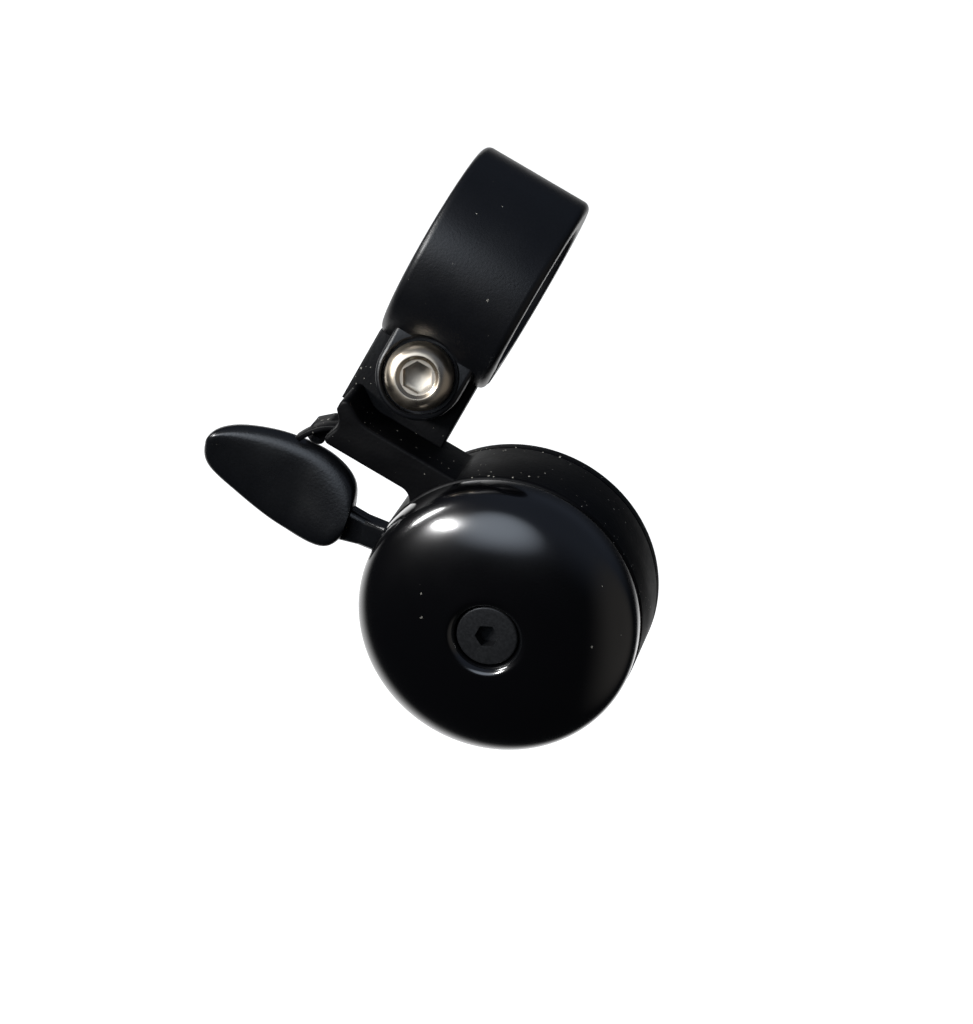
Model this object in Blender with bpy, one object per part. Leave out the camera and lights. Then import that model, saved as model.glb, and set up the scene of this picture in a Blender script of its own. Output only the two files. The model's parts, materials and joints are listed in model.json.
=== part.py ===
"""Handlebar bell: a gong over a round housing, whose arm a split band clamps to the bar.

Units are metres. World frame: +X runs along the bar, +Y away from the rider and +Z up, with the
origin on the bar's axis in the middle of the band. The pieces are drawn in frames of their own, in
which x runs along the bar, y is up and z points at the rider. The clamp's frame leans back a little.
The bell's frame has z = 0 in the plane of the gong's rim, and the lever and the hammer each have a
frame on their pivot, with x along the paddle or the hammer's arm.
"""

import math

import bmesh
import bpy
from mathutils import Matrix, Vector

MM = 0.001
CLEARANCE = 0.3 * MM
ROUND_STEPS = 48
MEDIUM_STEPS = 32
SMALL_STEPS = 20
SHARP_ANGLE = math.radians(35)
# How far inside its two ends the middle of a rounded corner lies, as a share of its radius
CORNER_SHARE = 1 - math.sqrt(0.5)
MARK_SIZE = 5.0 * MM

# Clamp: a split band, its two ears and the bolt across them
BAR_DIAMETER = 22.2 * MM
BORE_CLEARANCE = 0.1 * MM
BAND_WALL = 3.8 * MM
BAND_WIDTH = 17.0 * MM
BAND_EDGE = 1.0 * MM
CLAMP_LEAN = math.radians(17)
BOLT_DIAMETER = 6.0 * MM
BOLT_BAR_GAP = 2.8 * MM
BOLT_HEAD_DIAMETER = 9.7 * MM
BOLT_HEAD_HEIGHT = 3.3 * MM
BOLT_HEAD_RIM = 0.9 * MM
BOLT_SOCKET = 4.0 * MM
BOLT_SOCKET_DEPTH = 2.2 * MM
BOLT_MOUTH_DIAMETER = 6.0 * MM
BOLT_MOUTH_DEPTH = 0.5 * MM
BOLT_TAIL = 0.8 * MM
SPOTFACE_CLEARANCE = 0.55 * MM
SPOTFACE_DEPTH = 2.2 * MM
EAR_LIP = 0.8 * MM
EAR_SEAT = 3.6 * MM
EAR_BACK = 4.6 * MM
WASHER_THICKNESS = 0.8 * MM
NUT_ACROSS_FLATS = 10.0 * MM
NUT_HEIGHT = 4.0 * MM
NUT_EDGE = 0.3 * MM

# Arm: the moulding that carries the bell, with a tongue between the ears
TONGUE_THICKNESS = 4.0 * MM
TONGUE_LEFT = 8.4 * MM
TONGUE_RIGHT = 7.4 * MM
TONGUE_CORNER = 2.5 * MM
TONGUE_ROOT = 2.6 * MM
TONGUE_BAR_GAP = 1.4 * MM
EAR_SEAT_DEPTH = 0.1 * MM
ARM_THICKNESS = 5.4 * MM
ARM_EDGE = 0.6 * MM
ARM_LEFT = 7.7 * MM
ARM_LEFT_WAIST = 6.2 * MM
ARM_WAIST_DROP = 1.8 * MM
ARM_LEFT_FOOT = 7.6 * MM
ARM_LEFT_RISE = 2.7 * MM
ARM_LEFT_BLUNT = 1.6 * MM
ARM_RAMP = 3.4 * MM
ARM_FRONT_STEP = 0.5 * MM
ARM_BACK_STEP = 1.2 * MM
ARM_TOP_FILLET = 3.0 * MM
ARM_UNDER_FILLET = 2.0 * MM
ARM_ROOT_DEPTH = 0.4 * MM
HOOK_THICKNESS = 1.1 * MM
HOOK_WIDTH = 4.4 * MM
HOOK_EDGE = 0.3 * MM

# Bell: the gong, the housing behind it and the cover that closes the housing
HOUSING_ALONG_BAR = 6.2 * MM
BELL_BELOW_ARM = 13.7 * MM
RIM_FORWARD = 17.0 * MM
GONG_DIAMETER = 40.0 * MM
GONG_HEIGHT = 9.8 * MM
GONG_SKIRT = 1.6 * MM
GONG_WALL = 1.3 * MM
GONG_FULLNESS = 2.4
GONG_CROWN_ROLL = 1.3 * MM
GONG_RIM_ROUND = 0.35 * MM
RIM_GAP = 0.5 * MM
HOUSING_DIAMETER = 40.2 * MM
HOUSING_WALL = 1.4 * MM
HOUSING_DEPTH = 11.8 * MM
HOUSING_EDGE = 0.5 * MM
COVER_THICKNESS = 2.0 * MM
COVER_EDGE = 0.8 * MM
COVER_SCREW_DIAMETER = 2.2 * MM
COVER_SCREW_HEAD = 4.4 * MM
COVER_SCREW_GRIP = 2.6 * MM
COVER_BOSS_WALL = 1.1 * MM
COVER_BOSS_HEIGHT = 3.3 * MM
COVER_BOSS_STEP = 0.2 * MM
COVER_SCREW_ANGLES = (math.radians(90), math.radians(210), math.radians(330))
SCREW_SLOT_DEPTH = 0.8 * MM
SCREW_SLOT_WIDTH = 0.6 * MM

# Gong fixing: post, rubber isolator, front and rear screws
GONG_SCREW_DIAMETER = 5.0 * MM
GONG_SCREW_HEAD = 8.7 * MM
GONG_SCREW_LAND = 0.4 * MM
GONG_SCREW_SINK = 1.2 * MM
GONG_SCREW_LENGTH = 12.0 * MM
GONG_SCREW_SOCKET = 3.0 * MM
GONG_SCREW_SOCKET_DEPTH = 2.0 * MM
POST_WALL = 1.2 * MM
POST_FLANGE = 2.0 * MM
POST_FLANGE_HEIGHT = 1.3 * MM
ISOLATOR_THICKNESS = 1.0 * MM
ISOLATOR_RIM = 0.8 * MM
POST_SCREW_HEAD = 8.8 * MM
POST_SCREW_HEAD_HEIGHT = 2.6 * MM
POST_SCREW_ROUND = 1.3 * MM
POST_SCREW_LENGTH = 9.4 * MM

# Lever: paddle, neck, hub and toothed sector in one moulding, with a brass bush
LEVER_TRAVEL = math.radians(24)
LEVER_PLANE = -6.5 * MM
LEVER_PIVOT_ANGLE = math.radians(177)
LEVER_PIN_DIAMETER = 3.2 * MM
BUSH_WALL = 0.7 * MM
HUB_WALL = 1.9 * MM
HUB_HEIGHT = 4.0 * MM
HUB_HOUSING_GAP = 0.9 * MM
NECK_WIDTH = 4.0 * MM
NECK_THICKNESS = 3.2 * MM
NECK_EDGE = 0.4 * MM
SLOT_CLEARANCE = 0.6 * MM
PADDLE_ANGLE = math.radians(189.2)
PADDLE_HOUSING_GAP = 5.4 * MM
PADDLE_LENGTH = 23.7 * MM
PADDLE_WIDTH = 13.8 * MM
PADDLE_THICKNESS = 4.0 * MM
PADDLE_EDGE = 1.5 * MM
PADDLE_TURN = math.radians(12)
# The paddle's outline, as shares of its length from the neck and of its width from the lever's axis line,
# where minus is the upper edge.
PADDLE_SHAPE = (
    (0.00, 0.08), (0.04, -0.30), (0.24, -0.49), (0.52, -0.51), (0.84, -0.39),
    (1.00, -0.09), (0.84, 0.17), (0.42, 0.41), (0.10, 0.48),
)
PADDLE_STEPS = 4
BUMPER_DIAMETER = 2.6 * MM
BUMPER_HEIGHT = 1.2 * MM

# Teeth: the sector drives the hammer's pinion
TOOTH_MODULE = 0.8 * MM
PINION_TEETH = 11
GEAR_RATIO = 2
SECTOR_TEETH_BEFORE = 3
TOOTH_ADDENDUM = 0.9
TOOTH_DEDENDUM = 1.25
TOOTH_BACKLASH = 0.16 * MM
PRESSURE_ANGLE = math.radians(25)
FLANK_STEPS = 3
MESH_ANGLE = math.radians(-50)
SECTOR_THICKNESS = 2.6 * MM
PINION_FACE = 2.8 * MM

# Hammer: pinion, spring arm and head on a pin
HAMMER_PIN_DIAMETER = 2.5 * MM
HAMMER_BOSS_WALL = 1.8 * MM
SPIGOT_SIDE = 4.6 * MM
SHOULDER_DIAMETER = 7.2 * MM
HAMMER_PLANE = -2.5 * MM
HAMMER_ARM_THICKNESS = 0.8 * MM
HAMMER_ARM_ROOT = 9.4 * MM
HAMMER_ARM_WIDTH = 3.6 * MM
HAMMER_EYE_WALL = 1.2 * MM
HAMMER_STUD_DIAMETER = 2.4 * MM
HAMMER_NECK_DIAMETER = 3.2 * MM
HAMMER_RIVET_DIAMETER = 4.0 * MM
HAMMER_RIVET_HEIGHT = 0.8 * MM
HAMMER_HEAD_DIAMETER = 5.2 * MM
HAMMER_HEAD_HEIGHT = 2.8 * MM
HAMMER_HEAD_ROUND = 0.8 * MM
STRIKE_GAP = 0.8 * MM
SPIGOT_PROUD = 0.5 * MM

# Pins, clips and the lever's return spring
CLIP_THICKNESS = 0.4 * MM
CLIP_GROOVE_DEPTH = 0.4 * MM
CLIP_WIDTH = 1.4 * MM
CLIP_OPENING = math.radians(80)
PIN_TIP = 0.5 * MM
PIN_SEAT = 1.0 * MM
SPRING_WIRE = 0.8 * MM
SPRING_PITCH = 1.25 * MM
SPRING_TURNS = 1
SPRING_STEPS = 10
SPRING_FREE_LEG = 3.0 * MM
SPRING_POST_REACH = 1.5 * MM

# Worked out from the sizes above: clamp
BAND_INNER = BAR_DIAMETER / 2 + BORE_CLEARANCE
BAND_OUTER = BAND_INNER + BAND_WALL
BOLT_DROP = BAND_INNER + BOLT_DIAMETER / 2 + BOLT_BAR_GAP
SPOTFACE_RADIUS = BOLT_HEAD_DIAMETER / 2 + SPOTFACE_CLEARANCE
EAR_RADIUS = SPOTFACE_RADIUS + EAR_LIP
EAR_REACH = BOLT_DROP + EAR_RADIUS
SPLIT_HALF = TONGUE_THICKNESS / 2 + CLEARANCE
SEAT_LEVEL = SPLIT_HALF + EAR_SEAT
EAR_FRONT = SEAT_LEVEL + SPOTFACE_DEPTH
EAR_REAR = -SPLIT_HALF - EAR_BACK
BOLT_HOLE = BOLT_DIAMETER / 2 + CLEARANCE
NUT_SPACE = NUT_ACROSS_FLATS / math.sqrt(3) + SPOTFACE_CLEARANCE

# Arm and bell, in the world and in the bell's frame
ARM_TOP = -EAR_REACH
BELL_HEIGHT = ARM_TOP - BELL_BELOW_ARM
CLAMP_TURN = math.pi / 2 - CLAMP_LEAN
BELL_TURN = math.pi / 2
GONG_RADIUS = GONG_DIAMETER / 2
GONG_INNER = GONG_RADIUS - GONG_WALL
HOUSING_OUTER = HOUSING_DIAMETER / 2
HOUSING_INNER = HOUSING_OUTER - HOUSING_WALL
BELL_ALONG_BAR = HOUSING_ALONG_BAR + HOUSING_OUTER
BELL_PLACE = Vector((BELL_ALONG_BAR, -RIM_FORWARD, BELL_HEIGHT))
HOUSING_FRONT = -RIM_GAP
HOUSING_BACK = HOUSING_FRONT - HOUSING_DEPTH
COVER_FRONT = HOUSING_BACK - CLEARANCE
COVER_BACK = COVER_FRONT - COVER_THICKNESS
COVER_SCREW_HOLE = COVER_SCREW_DIAMETER / 2 + CLEARANCE
COVER_BOSS = COVER_SCREW_HOLE + COVER_BOSS_WALL
COVER_SCREW_CIRCLE = HOUSING_INNER + HOUSING_WALL / 2 - COVER_BOSS

# Gong fixing: the screw's head lies below the crown, and all else stacks down from it
SCREW_TOP = GONG_HEIGHT - GONG_SCREW_SINK
SCREW_HOLE = GONG_SCREW_DIAMETER / 2 + CLEARANCE
CONE_OFFSET = CLEARANCE * math.sqrt(2)
SEAT_BOTTOM = SCREW_TOP - GONG_SCREW_LAND - GONG_SCREW_HEAD / 2 + SCREW_HOLE - CONE_OFFSET
SEAT_UNDERSIDE = SEAT_BOTTOM - GONG_WALL
ISOLATOR_TOP = SEAT_UNDERSIDE - CLEARANCE
POST_TOP = ISOLATOR_TOP - ISOLATOR_THICKNESS - CLEARANCE
POST_RADIUS = SCREW_HOLE + POST_WALL
POST_FOOT = COVER_FRONT + CLEARANCE

# Lever and hammer pivots, and the hammer's swing
BUSH_INNER = LEVER_PIN_DIAMETER / 2 + CLEARANCE
BUSH_OUTER = BUSH_INNER + BUSH_WALL
HUB_RADIUS = BUSH_OUTER + CLEARANCE + HUB_WALL
SECTOR_PITCH_RADIUS = TOOTH_MODULE * PINION_TEETH * GEAR_RATIO / 2
PINION_PITCH_RADIUS = TOOTH_MODULE * PINION_TEETH / 2
HUB_LOW = LEVER_PLANE - HUB_HEIGHT / 2
HUB_HIGH = LEVER_PLANE + HUB_HEIGHT / 2
PADDLE_ROOT = HOUSING_WALL + HUB_HOUSING_GAP + HUB_RADIUS + PADDLE_HOUSING_GAP


def polar(radius, angle):
    return Vector((radius * math.cos(angle), radius * math.sin(angle)))


LEVER_PIVOT = polar(HOUSING_INNER - HUB_HOUSING_GAP - HUB_RADIUS, LEVER_PIVOT_ANGLE)
HAMMER_PIVOT = LEVER_PIVOT + polar(SECTOR_PITCH_RADIUS + PINION_PITCH_RADIUS, MESH_ANGLE)
STRIKE_RADIUS = GONG_INNER - STRIKE_GAP - HAMMER_HEAD_DIAMETER / 2
# At the strike the arm stands square to the line from the bell's axis to the hammer's pivot.
HAMMER_REACH = math.sqrt(STRIKE_RADIUS**2 - HAMMER_PIVOT.length_squared)
HAMMER_REST_ANGLE = math.atan2(HAMMER_PIVOT.y, HAMMER_PIVOT.x) + math.pi / 2 + LEVER_TRAVEL * GEAR_RATIO
HAMMER_ARM_LOW = HAMMER_PLANE - HAMMER_ARM_THICKNESS / 2
HAMMER_ARM_HIGH = HAMMER_PLANE + HAMMER_ARM_THICKNESS / 2
PINION_LOW = LEVER_PLANE - PINION_FACE / 2
SPIGOT_TOP = HAMMER_ARM_HIGH + SPIGOT_PROUD
HAMMER_PIN_HOLE = HAMMER_PIN_DIAMETER / 2 + CLEARANCE
SPRING_RADIUS = NECK_WIDTH + CLEARANCE + SPRING_WIRE / 2
SPRING_START = HUB_HIGH + CLEARANCE + SPRING_WIRE / 2
# The spring's free leg lies along the paddle and its other leg runs past the post.
SPRING_FIRST = PADDLE_ANGLE - math.pi - math.pi / 2
SPRING_LAST = math.atan2(-LEVER_PIVOT.y, -LEVER_PIVOT.x) - math.pi / 2 + math.tau * (SPRING_TURNS + 1)
SPRING_END = SPRING_START + SPRING_PITCH * (SPRING_LAST - SPRING_FIRST) / math.tau
BUSH_TOP = SPRING_END + SPRING_WIRE / 2
NECK_LOW = LEVER_PLANE - NECK_THICKNESS / 2


def clear_scene():
    for old in list(bpy.data.objects):
        bpy.data.objects.remove(old, do_unlink=True)


def frame(name, location, rotation, parent=None):
    """An empty that carries pieces drawn in its own axes."""
    empty = bpy.data.objects.new(name, None)
    empty.empty_display_size = MARK_SIZE
    empty.location = location
    empty.rotation_euler = rotation
    empty.parent = parent
    bpy.context.scene.collection.objects.link(empty)
    return empty


def finish(name, colour, roughness, metallic=0.0):
    """A material with one colour, roughness and metallic value."""
    material = bpy.data.materials.new(name)
    material.use_nodes = True
    shader = material.node_tree.nodes["Principled BSDF"]
    shader.inputs["Base Color"].default_value = (*colour, 1.0)
    shader.inputs["Roughness"].default_value = roughness
    shader.inputs["Metallic"].default_value = metallic
    return material


def add(name, shape, parent, material=None):
    """Makes an object of a bmesh. One with no material is a helper for a Boolean."""
    mesh = bpy.data.meshes.new(name)
    shape.to_mesh(mesh)
    shape.free()
    mesh.shade_smooth()
    mesh.set_sharp_from_angle(angle=SHARP_ANGLE)
    piece = bpy.data.objects.new(name, mesh)
    piece.parent = parent
    bpy.context.scene.collection.objects.link(piece)
    if material:
        mesh.materials.append(material)
    else:
        piece.hide_render = True
        piece.display_type = "WIRE"
    return piece


def boolean(piece, operation, shapes):
    """Joins named helper shapes to a piece, or cuts them out, all in one step."""
    group = bpy.data.collections.new(f"{piece.name}_{operation.lower()}")
    bpy.context.scene.collection.children.link(group)
    for name, shape in shapes.items():
        helper = add(f"{piece.name}_{name}", shape, piece.parent)
        bpy.context.scene.collection.objects.unlink(helper)
        group.objects.link(helper)
    modifier = piece.modifiers.new(group.name, "BOOLEAN")
    modifier.operation = operation
    modifier.solver = "EXACT"
    modifier.operand_type = "COLLECTION"
    modifier.collection = group


def join(piece, **shapes):
    boolean(piece, "UNION", shapes)


def cut(piece, **shapes):
    boolean(piece, "DIFFERENCE", shapes)


def arc(centre, radius, start, end, steps):
    return [Vector(centre) + polar(radius, start + (end - start) * i / steps) for i in range(steps + 1)]


def polygon(sides, radius, turn=0.0):
    return [polar(radius, turn + math.tau * i / sides) for i in range(sides)]


def hexagon(across_flats):
    return polygon(6, across_flats / math.sqrt(3))


def smooth_loop(points, steps):
    """A closed Catmull-Rom curve through a few points."""
    curve = []
    count = len(points)
    for i in range(count):
        before, here, after, beyond = (Vector(points[(i + k) % count]) for k in (-1, 0, 1, 2))
        for step in range(steps):
            t = step / steps
            curve.append(
                here
                + (after - before) * (t / 2)
                + (before * 2 - here * 5 + after * 4 - beyond) * (t * t / 2)
                + (here * 3 - before - after * 3 + beyond) * (t**3 / 2)
            )
    return curve


def prism(outline, low, high, edge=0.0, segments=2):
    """An outline in x and y, drawn out from z low to high, with its rims rounded by edge."""
    shape = bmesh.new()
    face = shape.faces.new([shape.verts.new((p[0], p[1], low)) for p in outline])
    top = bmesh.ops.extrude_face_region(shape, geom=[face])["geom"]
    raised = [item for item in top if isinstance(item, bmesh.types.BMVert)]
    bmesh.ops.translate(shape, verts=raised, vec=(0, 0, high - low))
    bmesh.ops.recalc_face_normals(shape, faces=shape.faces)
    if edge:
        rims = [e for e in shape.edges if abs(e.verts[0].co.z - e.verts[1].co.z) < (high - low) / 2]
        bmesh.ops.bevel(
            shape, geom=rims, offset=edge, segments=segments, profile=0.5, affect="EDGES", material=-1
        )
    return shape


def lathe(profile, steps=ROUND_STEPS):
    """A profile of radius and z, turned about the z axis. It is closed, or it starts and ends on the axis."""
    shape = bmesh.new()
    verts = [shape.verts.new((radius, 0, z)) for radius, z in profile]
    edges = [shape.edges.new(pair) for pair in zip(verts, verts[1:])]
    if profile[0][0] > 0:
        edges.append(shape.edges.new((verts[-1], verts[0])))
    bmesh.ops.spin(
        shape, geom=verts + edges, cent=(0, 0, 0), axis=(0, 0, 1), angle=math.tau, steps=steps, use_merge=True
    )
    bmesh.ops.remove_doubles(shape, verts=shape.verts, dist=1e-7)
    bmesh.ops.recalc_face_normals(shape, faces=shape.faces)
    return shape


def rod(radius, low, high, steps=SMALL_STEPS):
    return lathe([(0, low), (radius, low), (radius, high), (0, high)], steps)


def tube(inner, outer, low, high, steps=SMALL_STEPS):
    return lathe([(inner, low), (outer, low), (outer, high), (inner, high)], steps)


def moved(shape, x=0.0, y=0.0, z=0.0):
    bmesh.ops.translate(shape, verts=shape.verts, vec=(x, y, z))
    return shape


def from_clamp(shape):
    """A shape drawn in the clamp's frame, as it lies in the bell's frame."""
    clamp = Matrix.Rotation(CLAMP_TURN, 4, "X")
    bell = Matrix.Translation(BELL_PLACE) @ Matrix.Rotation(BELL_TURN, 4, "X")
    bmesh.ops.transform(shape, matrix=bell.inverted() @ clamp, verts=shape.verts)
    return shape


def turned(shape, angle, axis):
    bmesh.ops.rotate(shape, verts=shape.verts, cent=(0, 0, 0), matrix=Matrix.Rotation(angle, 3, axis))
    return shape


def tab(half_width, top, centre):
    """A strip that runs down from y = top to a round end about y = centre."""
    end = arc((0, centre), half_width, math.pi, math.tau, SMALL_STEPS // 2)
    return [(half_width, top), (-half_width, top)] + end


def make_clamp_band(parent, material):
    """The split ring on the bar, with an ear on each side of the split."""
    half = BAND_WIDTH / 2
    corner = [
        (BAND_INNER, half - BAND_EDGE / 2), (BAND_INNER + BAND_EDGE / 2, half),
        (BAND_OUTER - BAND_EDGE, half),
        (BAND_OUTER - BAND_EDGE * CORNER_SHARE, half - BAND_EDGE * CORNER_SHARE),
        (BAND_OUTER, half - BAND_EDGE),
    ]
    ring = lathe(corner + [(radius, -x) for radius, x in reversed(corner)])
    band = add("clamp_band", turned(ring, math.pi / 2, "Y"), parent, material)
    root = -(BAND_INNER + BAND_WALL / 4)
    ear = tab(EAR_RADIUS, root, -BOLT_DROP)
    join(band, ears=prism(ear, EAR_REAR, EAR_FRONT))
    far = BAND_OUTER * 2
    split = [(-far, -far), (far, -far), (far, 0), (-far, 0)]
    cut(
        band,
        split=prism(split, -SPLIT_HALF, SPLIT_HALF),
        spotface=moved(rod(SPOTFACE_RADIUS, SEAT_LEVEL, far, MEDIUM_STEPS), y=-BOLT_DROP),
        nut_space=moved(rod(NUT_SPACE, -far, EAR_REAR - CLEARANCE / 2, MEDIUM_STEPS), y=-BOLT_DROP),
        bolt_hole=moved(rod(BOLT_HOLE, -far, far), y=-BOLT_DROP),
    )


def make_clamp_bolt(parent, material):
    """Button-head bolt with a hexagon socket in a round mouth."""
    low = SEAT_LEVEL + 2 * CLEARANCE + WASHER_THICKNESS
    high = low + BOLT_HEAD_HEIGHT
    radius = BOLT_HEAD_DIAMETER / 2
    mouth = BOLT_MOUTH_DIAMETER / 2
    tail = EAR_REAR - CLEARANCE - NUT_HEIGHT - BOLT_TAIL
    steps = 5
    crown = [
        (
            mouth + (radius - mouth) * math.cos(math.pi / 2 * i / steps),
            low + BOLT_HEAD_RIM + (BOLT_HEAD_HEIGHT - BOLT_HEAD_RIM) * math.sin(math.pi / 2 * i / steps),
        )
        for i in range(steps + 1)
    ]
    floor = high - BOLT_MOUTH_DEPTH
    profile = [(0, tail), (BOLT_DIAMETER / 2, tail), (BOLT_DIAMETER / 2, low), (radius, low)]
    profile += crown + [(mouth - BOLT_MOUTH_DEPTH, floor), (0, floor)]
    bolt = add("clamp_bolt", moved(lathe(profile, MEDIUM_STEPS), y=-BOLT_DROP), parent, material)
    socket = prism(hexagon(BOLT_SOCKET), floor - BOLT_SOCKET_DEPTH, high)
    cut(bolt, socket=moved(socket, y=-BOLT_DROP))


def make_clamp_washer(parent, material):
    low = SEAT_LEVEL + CLEARANCE
    ring = tube(BOLT_HOLE, BOLT_HEAD_DIAMETER / 2, low, low + WASHER_THICKNESS, MEDIUM_STEPS)
    add("clamp_washer", moved(ring, y=-BOLT_DROP), parent, material)


def make_clamp_nut(parent, material):
    high = EAR_REAR - CLEARANCE
    nut = prism(hexagon(NUT_ACROSS_FLATS), high - NUT_HEIGHT, high, edge=NUT_EDGE, segments=1)
    piece = add("clamp_nut", moved(nut, y=-BOLT_DROP), parent, material)
    cut(piece, thread=moved(rod(BOLT_HOLE, high - 2 * NUT_HEIGHT, high + NUT_HEIGHT), y=-BOLT_DROP))


def bell_point(x, z):
    """A place in the world's x and z, as x and y of the bell's frame."""
    return Vector((x - BELL_ALONG_BAR, z - BELL_HEIGHT))


def arm_root(level, fillet, side):
    """The fillet by which the arm's edge at this level runs into the housing, then a point well inside."""
    height = level + side * fillet
    reach = HOUSING_OUTER - ARM_ROOT_DEPTH + fillet
    centre = Vector((-math.sqrt(reach**2 - height**2), height))
    curve = arc(centre, fillet, -side * math.pi / 2, math.atan2(-centre.y, -centre.x), 3)
    return curve + [centre.normalized() * (HOUSING_OUTER / 2)]


def arm_outline():
    """The arm from the front: a bar that rises at its left end, and at its right runs into the housing."""
    ramp = bell_point(-ARM_RAMP, ARM_TOP)
    tip = bell_point(-ARM_LEFT, ARM_TOP + ARM_LEFT_RISE)
    side = tip - Vector((0, ARM_LEFT_BLUNT))
    waist = bell_point(-ARM_LEFT_WAIST, ARM_TOP - ARM_WAIST_DROP)
    foot = bell_point(-ARM_LEFT_FOOT, ARM_TOP - ARM_THICKNESS)
    under = arm_root(BELL_BELOW_ARM - ARM_THICKNESS, ARM_UNDER_FILLET, -1)
    over = arm_root(BELL_BELOW_ARM, ARM_TOP_FILLET, 1)
    return [waist, foot] + under + over[::-1] + [ramp, tip, side]


def paddle_outline():
    """The paddle in the lever's frame, before it is turned towards the thumb."""
    points = [(PADDLE_ROOT + PADDLE_LENGTH * along, PADDLE_WIDTH * across) for along, across in PADDLE_SHAPE]
    return smooth_loop(points, PADDLE_STEPS)


def bumper_seat():
    """Where the bumper's foot is, in x, y and z of the bell's frame: over the paddle's highest point."""
    top = min(paddle_outline(), key=lambda point: point.y)
    flat = Vector((-top.y - PADDLE_EDGE, PADDLE_THICKNESS / 2 - PADDLE_EDGE))
    reach = flat.dot(polar(1, PADDLE_TURN)) + PADDLE_EDGE + CLEARANCE
    along = polar(top.x, PADDLE_ANGLE)
    upward = polar(reach, PADDLE_ANGLE - math.pi / 2)
    place = LEVER_PIVOT + along + upward
    return Vector((place.x, place.y, LEVER_PLANE + top.y * math.sin(PADDLE_TURN)))


def hook_outline():
    """The stop hook: a curved strip from the arm's lower left, which ends in a pad over the bumper."""
    seat = bumper_seat()
    pad_low = seat.y + BUMPER_HEIGHT + CLEARANCE
    pad_high = pad_low + HOOK_THICKNESS
    start = bell_point(-ARM_LEFT_FOOT + HOOK_THICKNESS, ARM_TOP - ARM_THICKNESS + HOOK_THICKNESS)
    end = Vector((seat.x, pad_high))
    bend = Vector((end.x, start.y))
    inner, outer = [], []
    steps = 6
    for i in range(steps + 1):
        t = i / steps
        point = start * (1 - t) ** 2 + bend * (2 * t * (1 - t)) + end * t**2
        run = (bend - start) * (1 - t) + (end - bend) * t
        across = Vector((-run.y, run.x)).normalized() * (HOOK_THICKNESS / 2)
        inner.append(point + across)
        outer.append(point - across)
    left, right = end.x - BUMPER_DIAMETER / 2, end.x + BUMPER_DIAMETER / 2
    pad = [Vector(p) for p in ((right, pad_high), (right, pad_low), (left, pad_low), (left, pad_high))]
    return inner + pad + outer[::-1]


def neck_crossing(across, turn, radius):
    """The bell angle at which a line along the neck, this far below its axis, crosses a circle."""
    along = polar(1, PADDLE_ANGLE + turn)
    start = LEVER_PIVOT + Vector((-along.y, along.x)) * across
    half = start.dot(along)
    run = -half + math.sqrt(half**2 - start.length_squared + radius**2)
    place = start + along * run
    return math.atan2(place.y, place.x) % math.tau


def lever_slot():
    """The slot in the housing's wall, over the whole swing of the lever's neck and open to the front."""
    slack = SLOT_CLEARANCE / HOUSING_INNER
    first = min(neck_crossing(0, 0, radius) for radius in (HOUSING_INNER, HOUSING_OUTER)) - slack
    last = neck_crossing(NECK_WIDTH, LEVER_TRAVEL, HOUSING_OUTER) + slack
    inside, outside = HOUSING_INNER - HOUSING_WALL, HOUSING_OUTER + HOUSING_WALL
    outline = arc((0, 0), inside, last, first, 4) + arc((0, 0), outside, first, last, 4)
    return prism(outline, NECK_LOW - SLOT_CLEARANCE, -HOUSING_FRONT)


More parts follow.
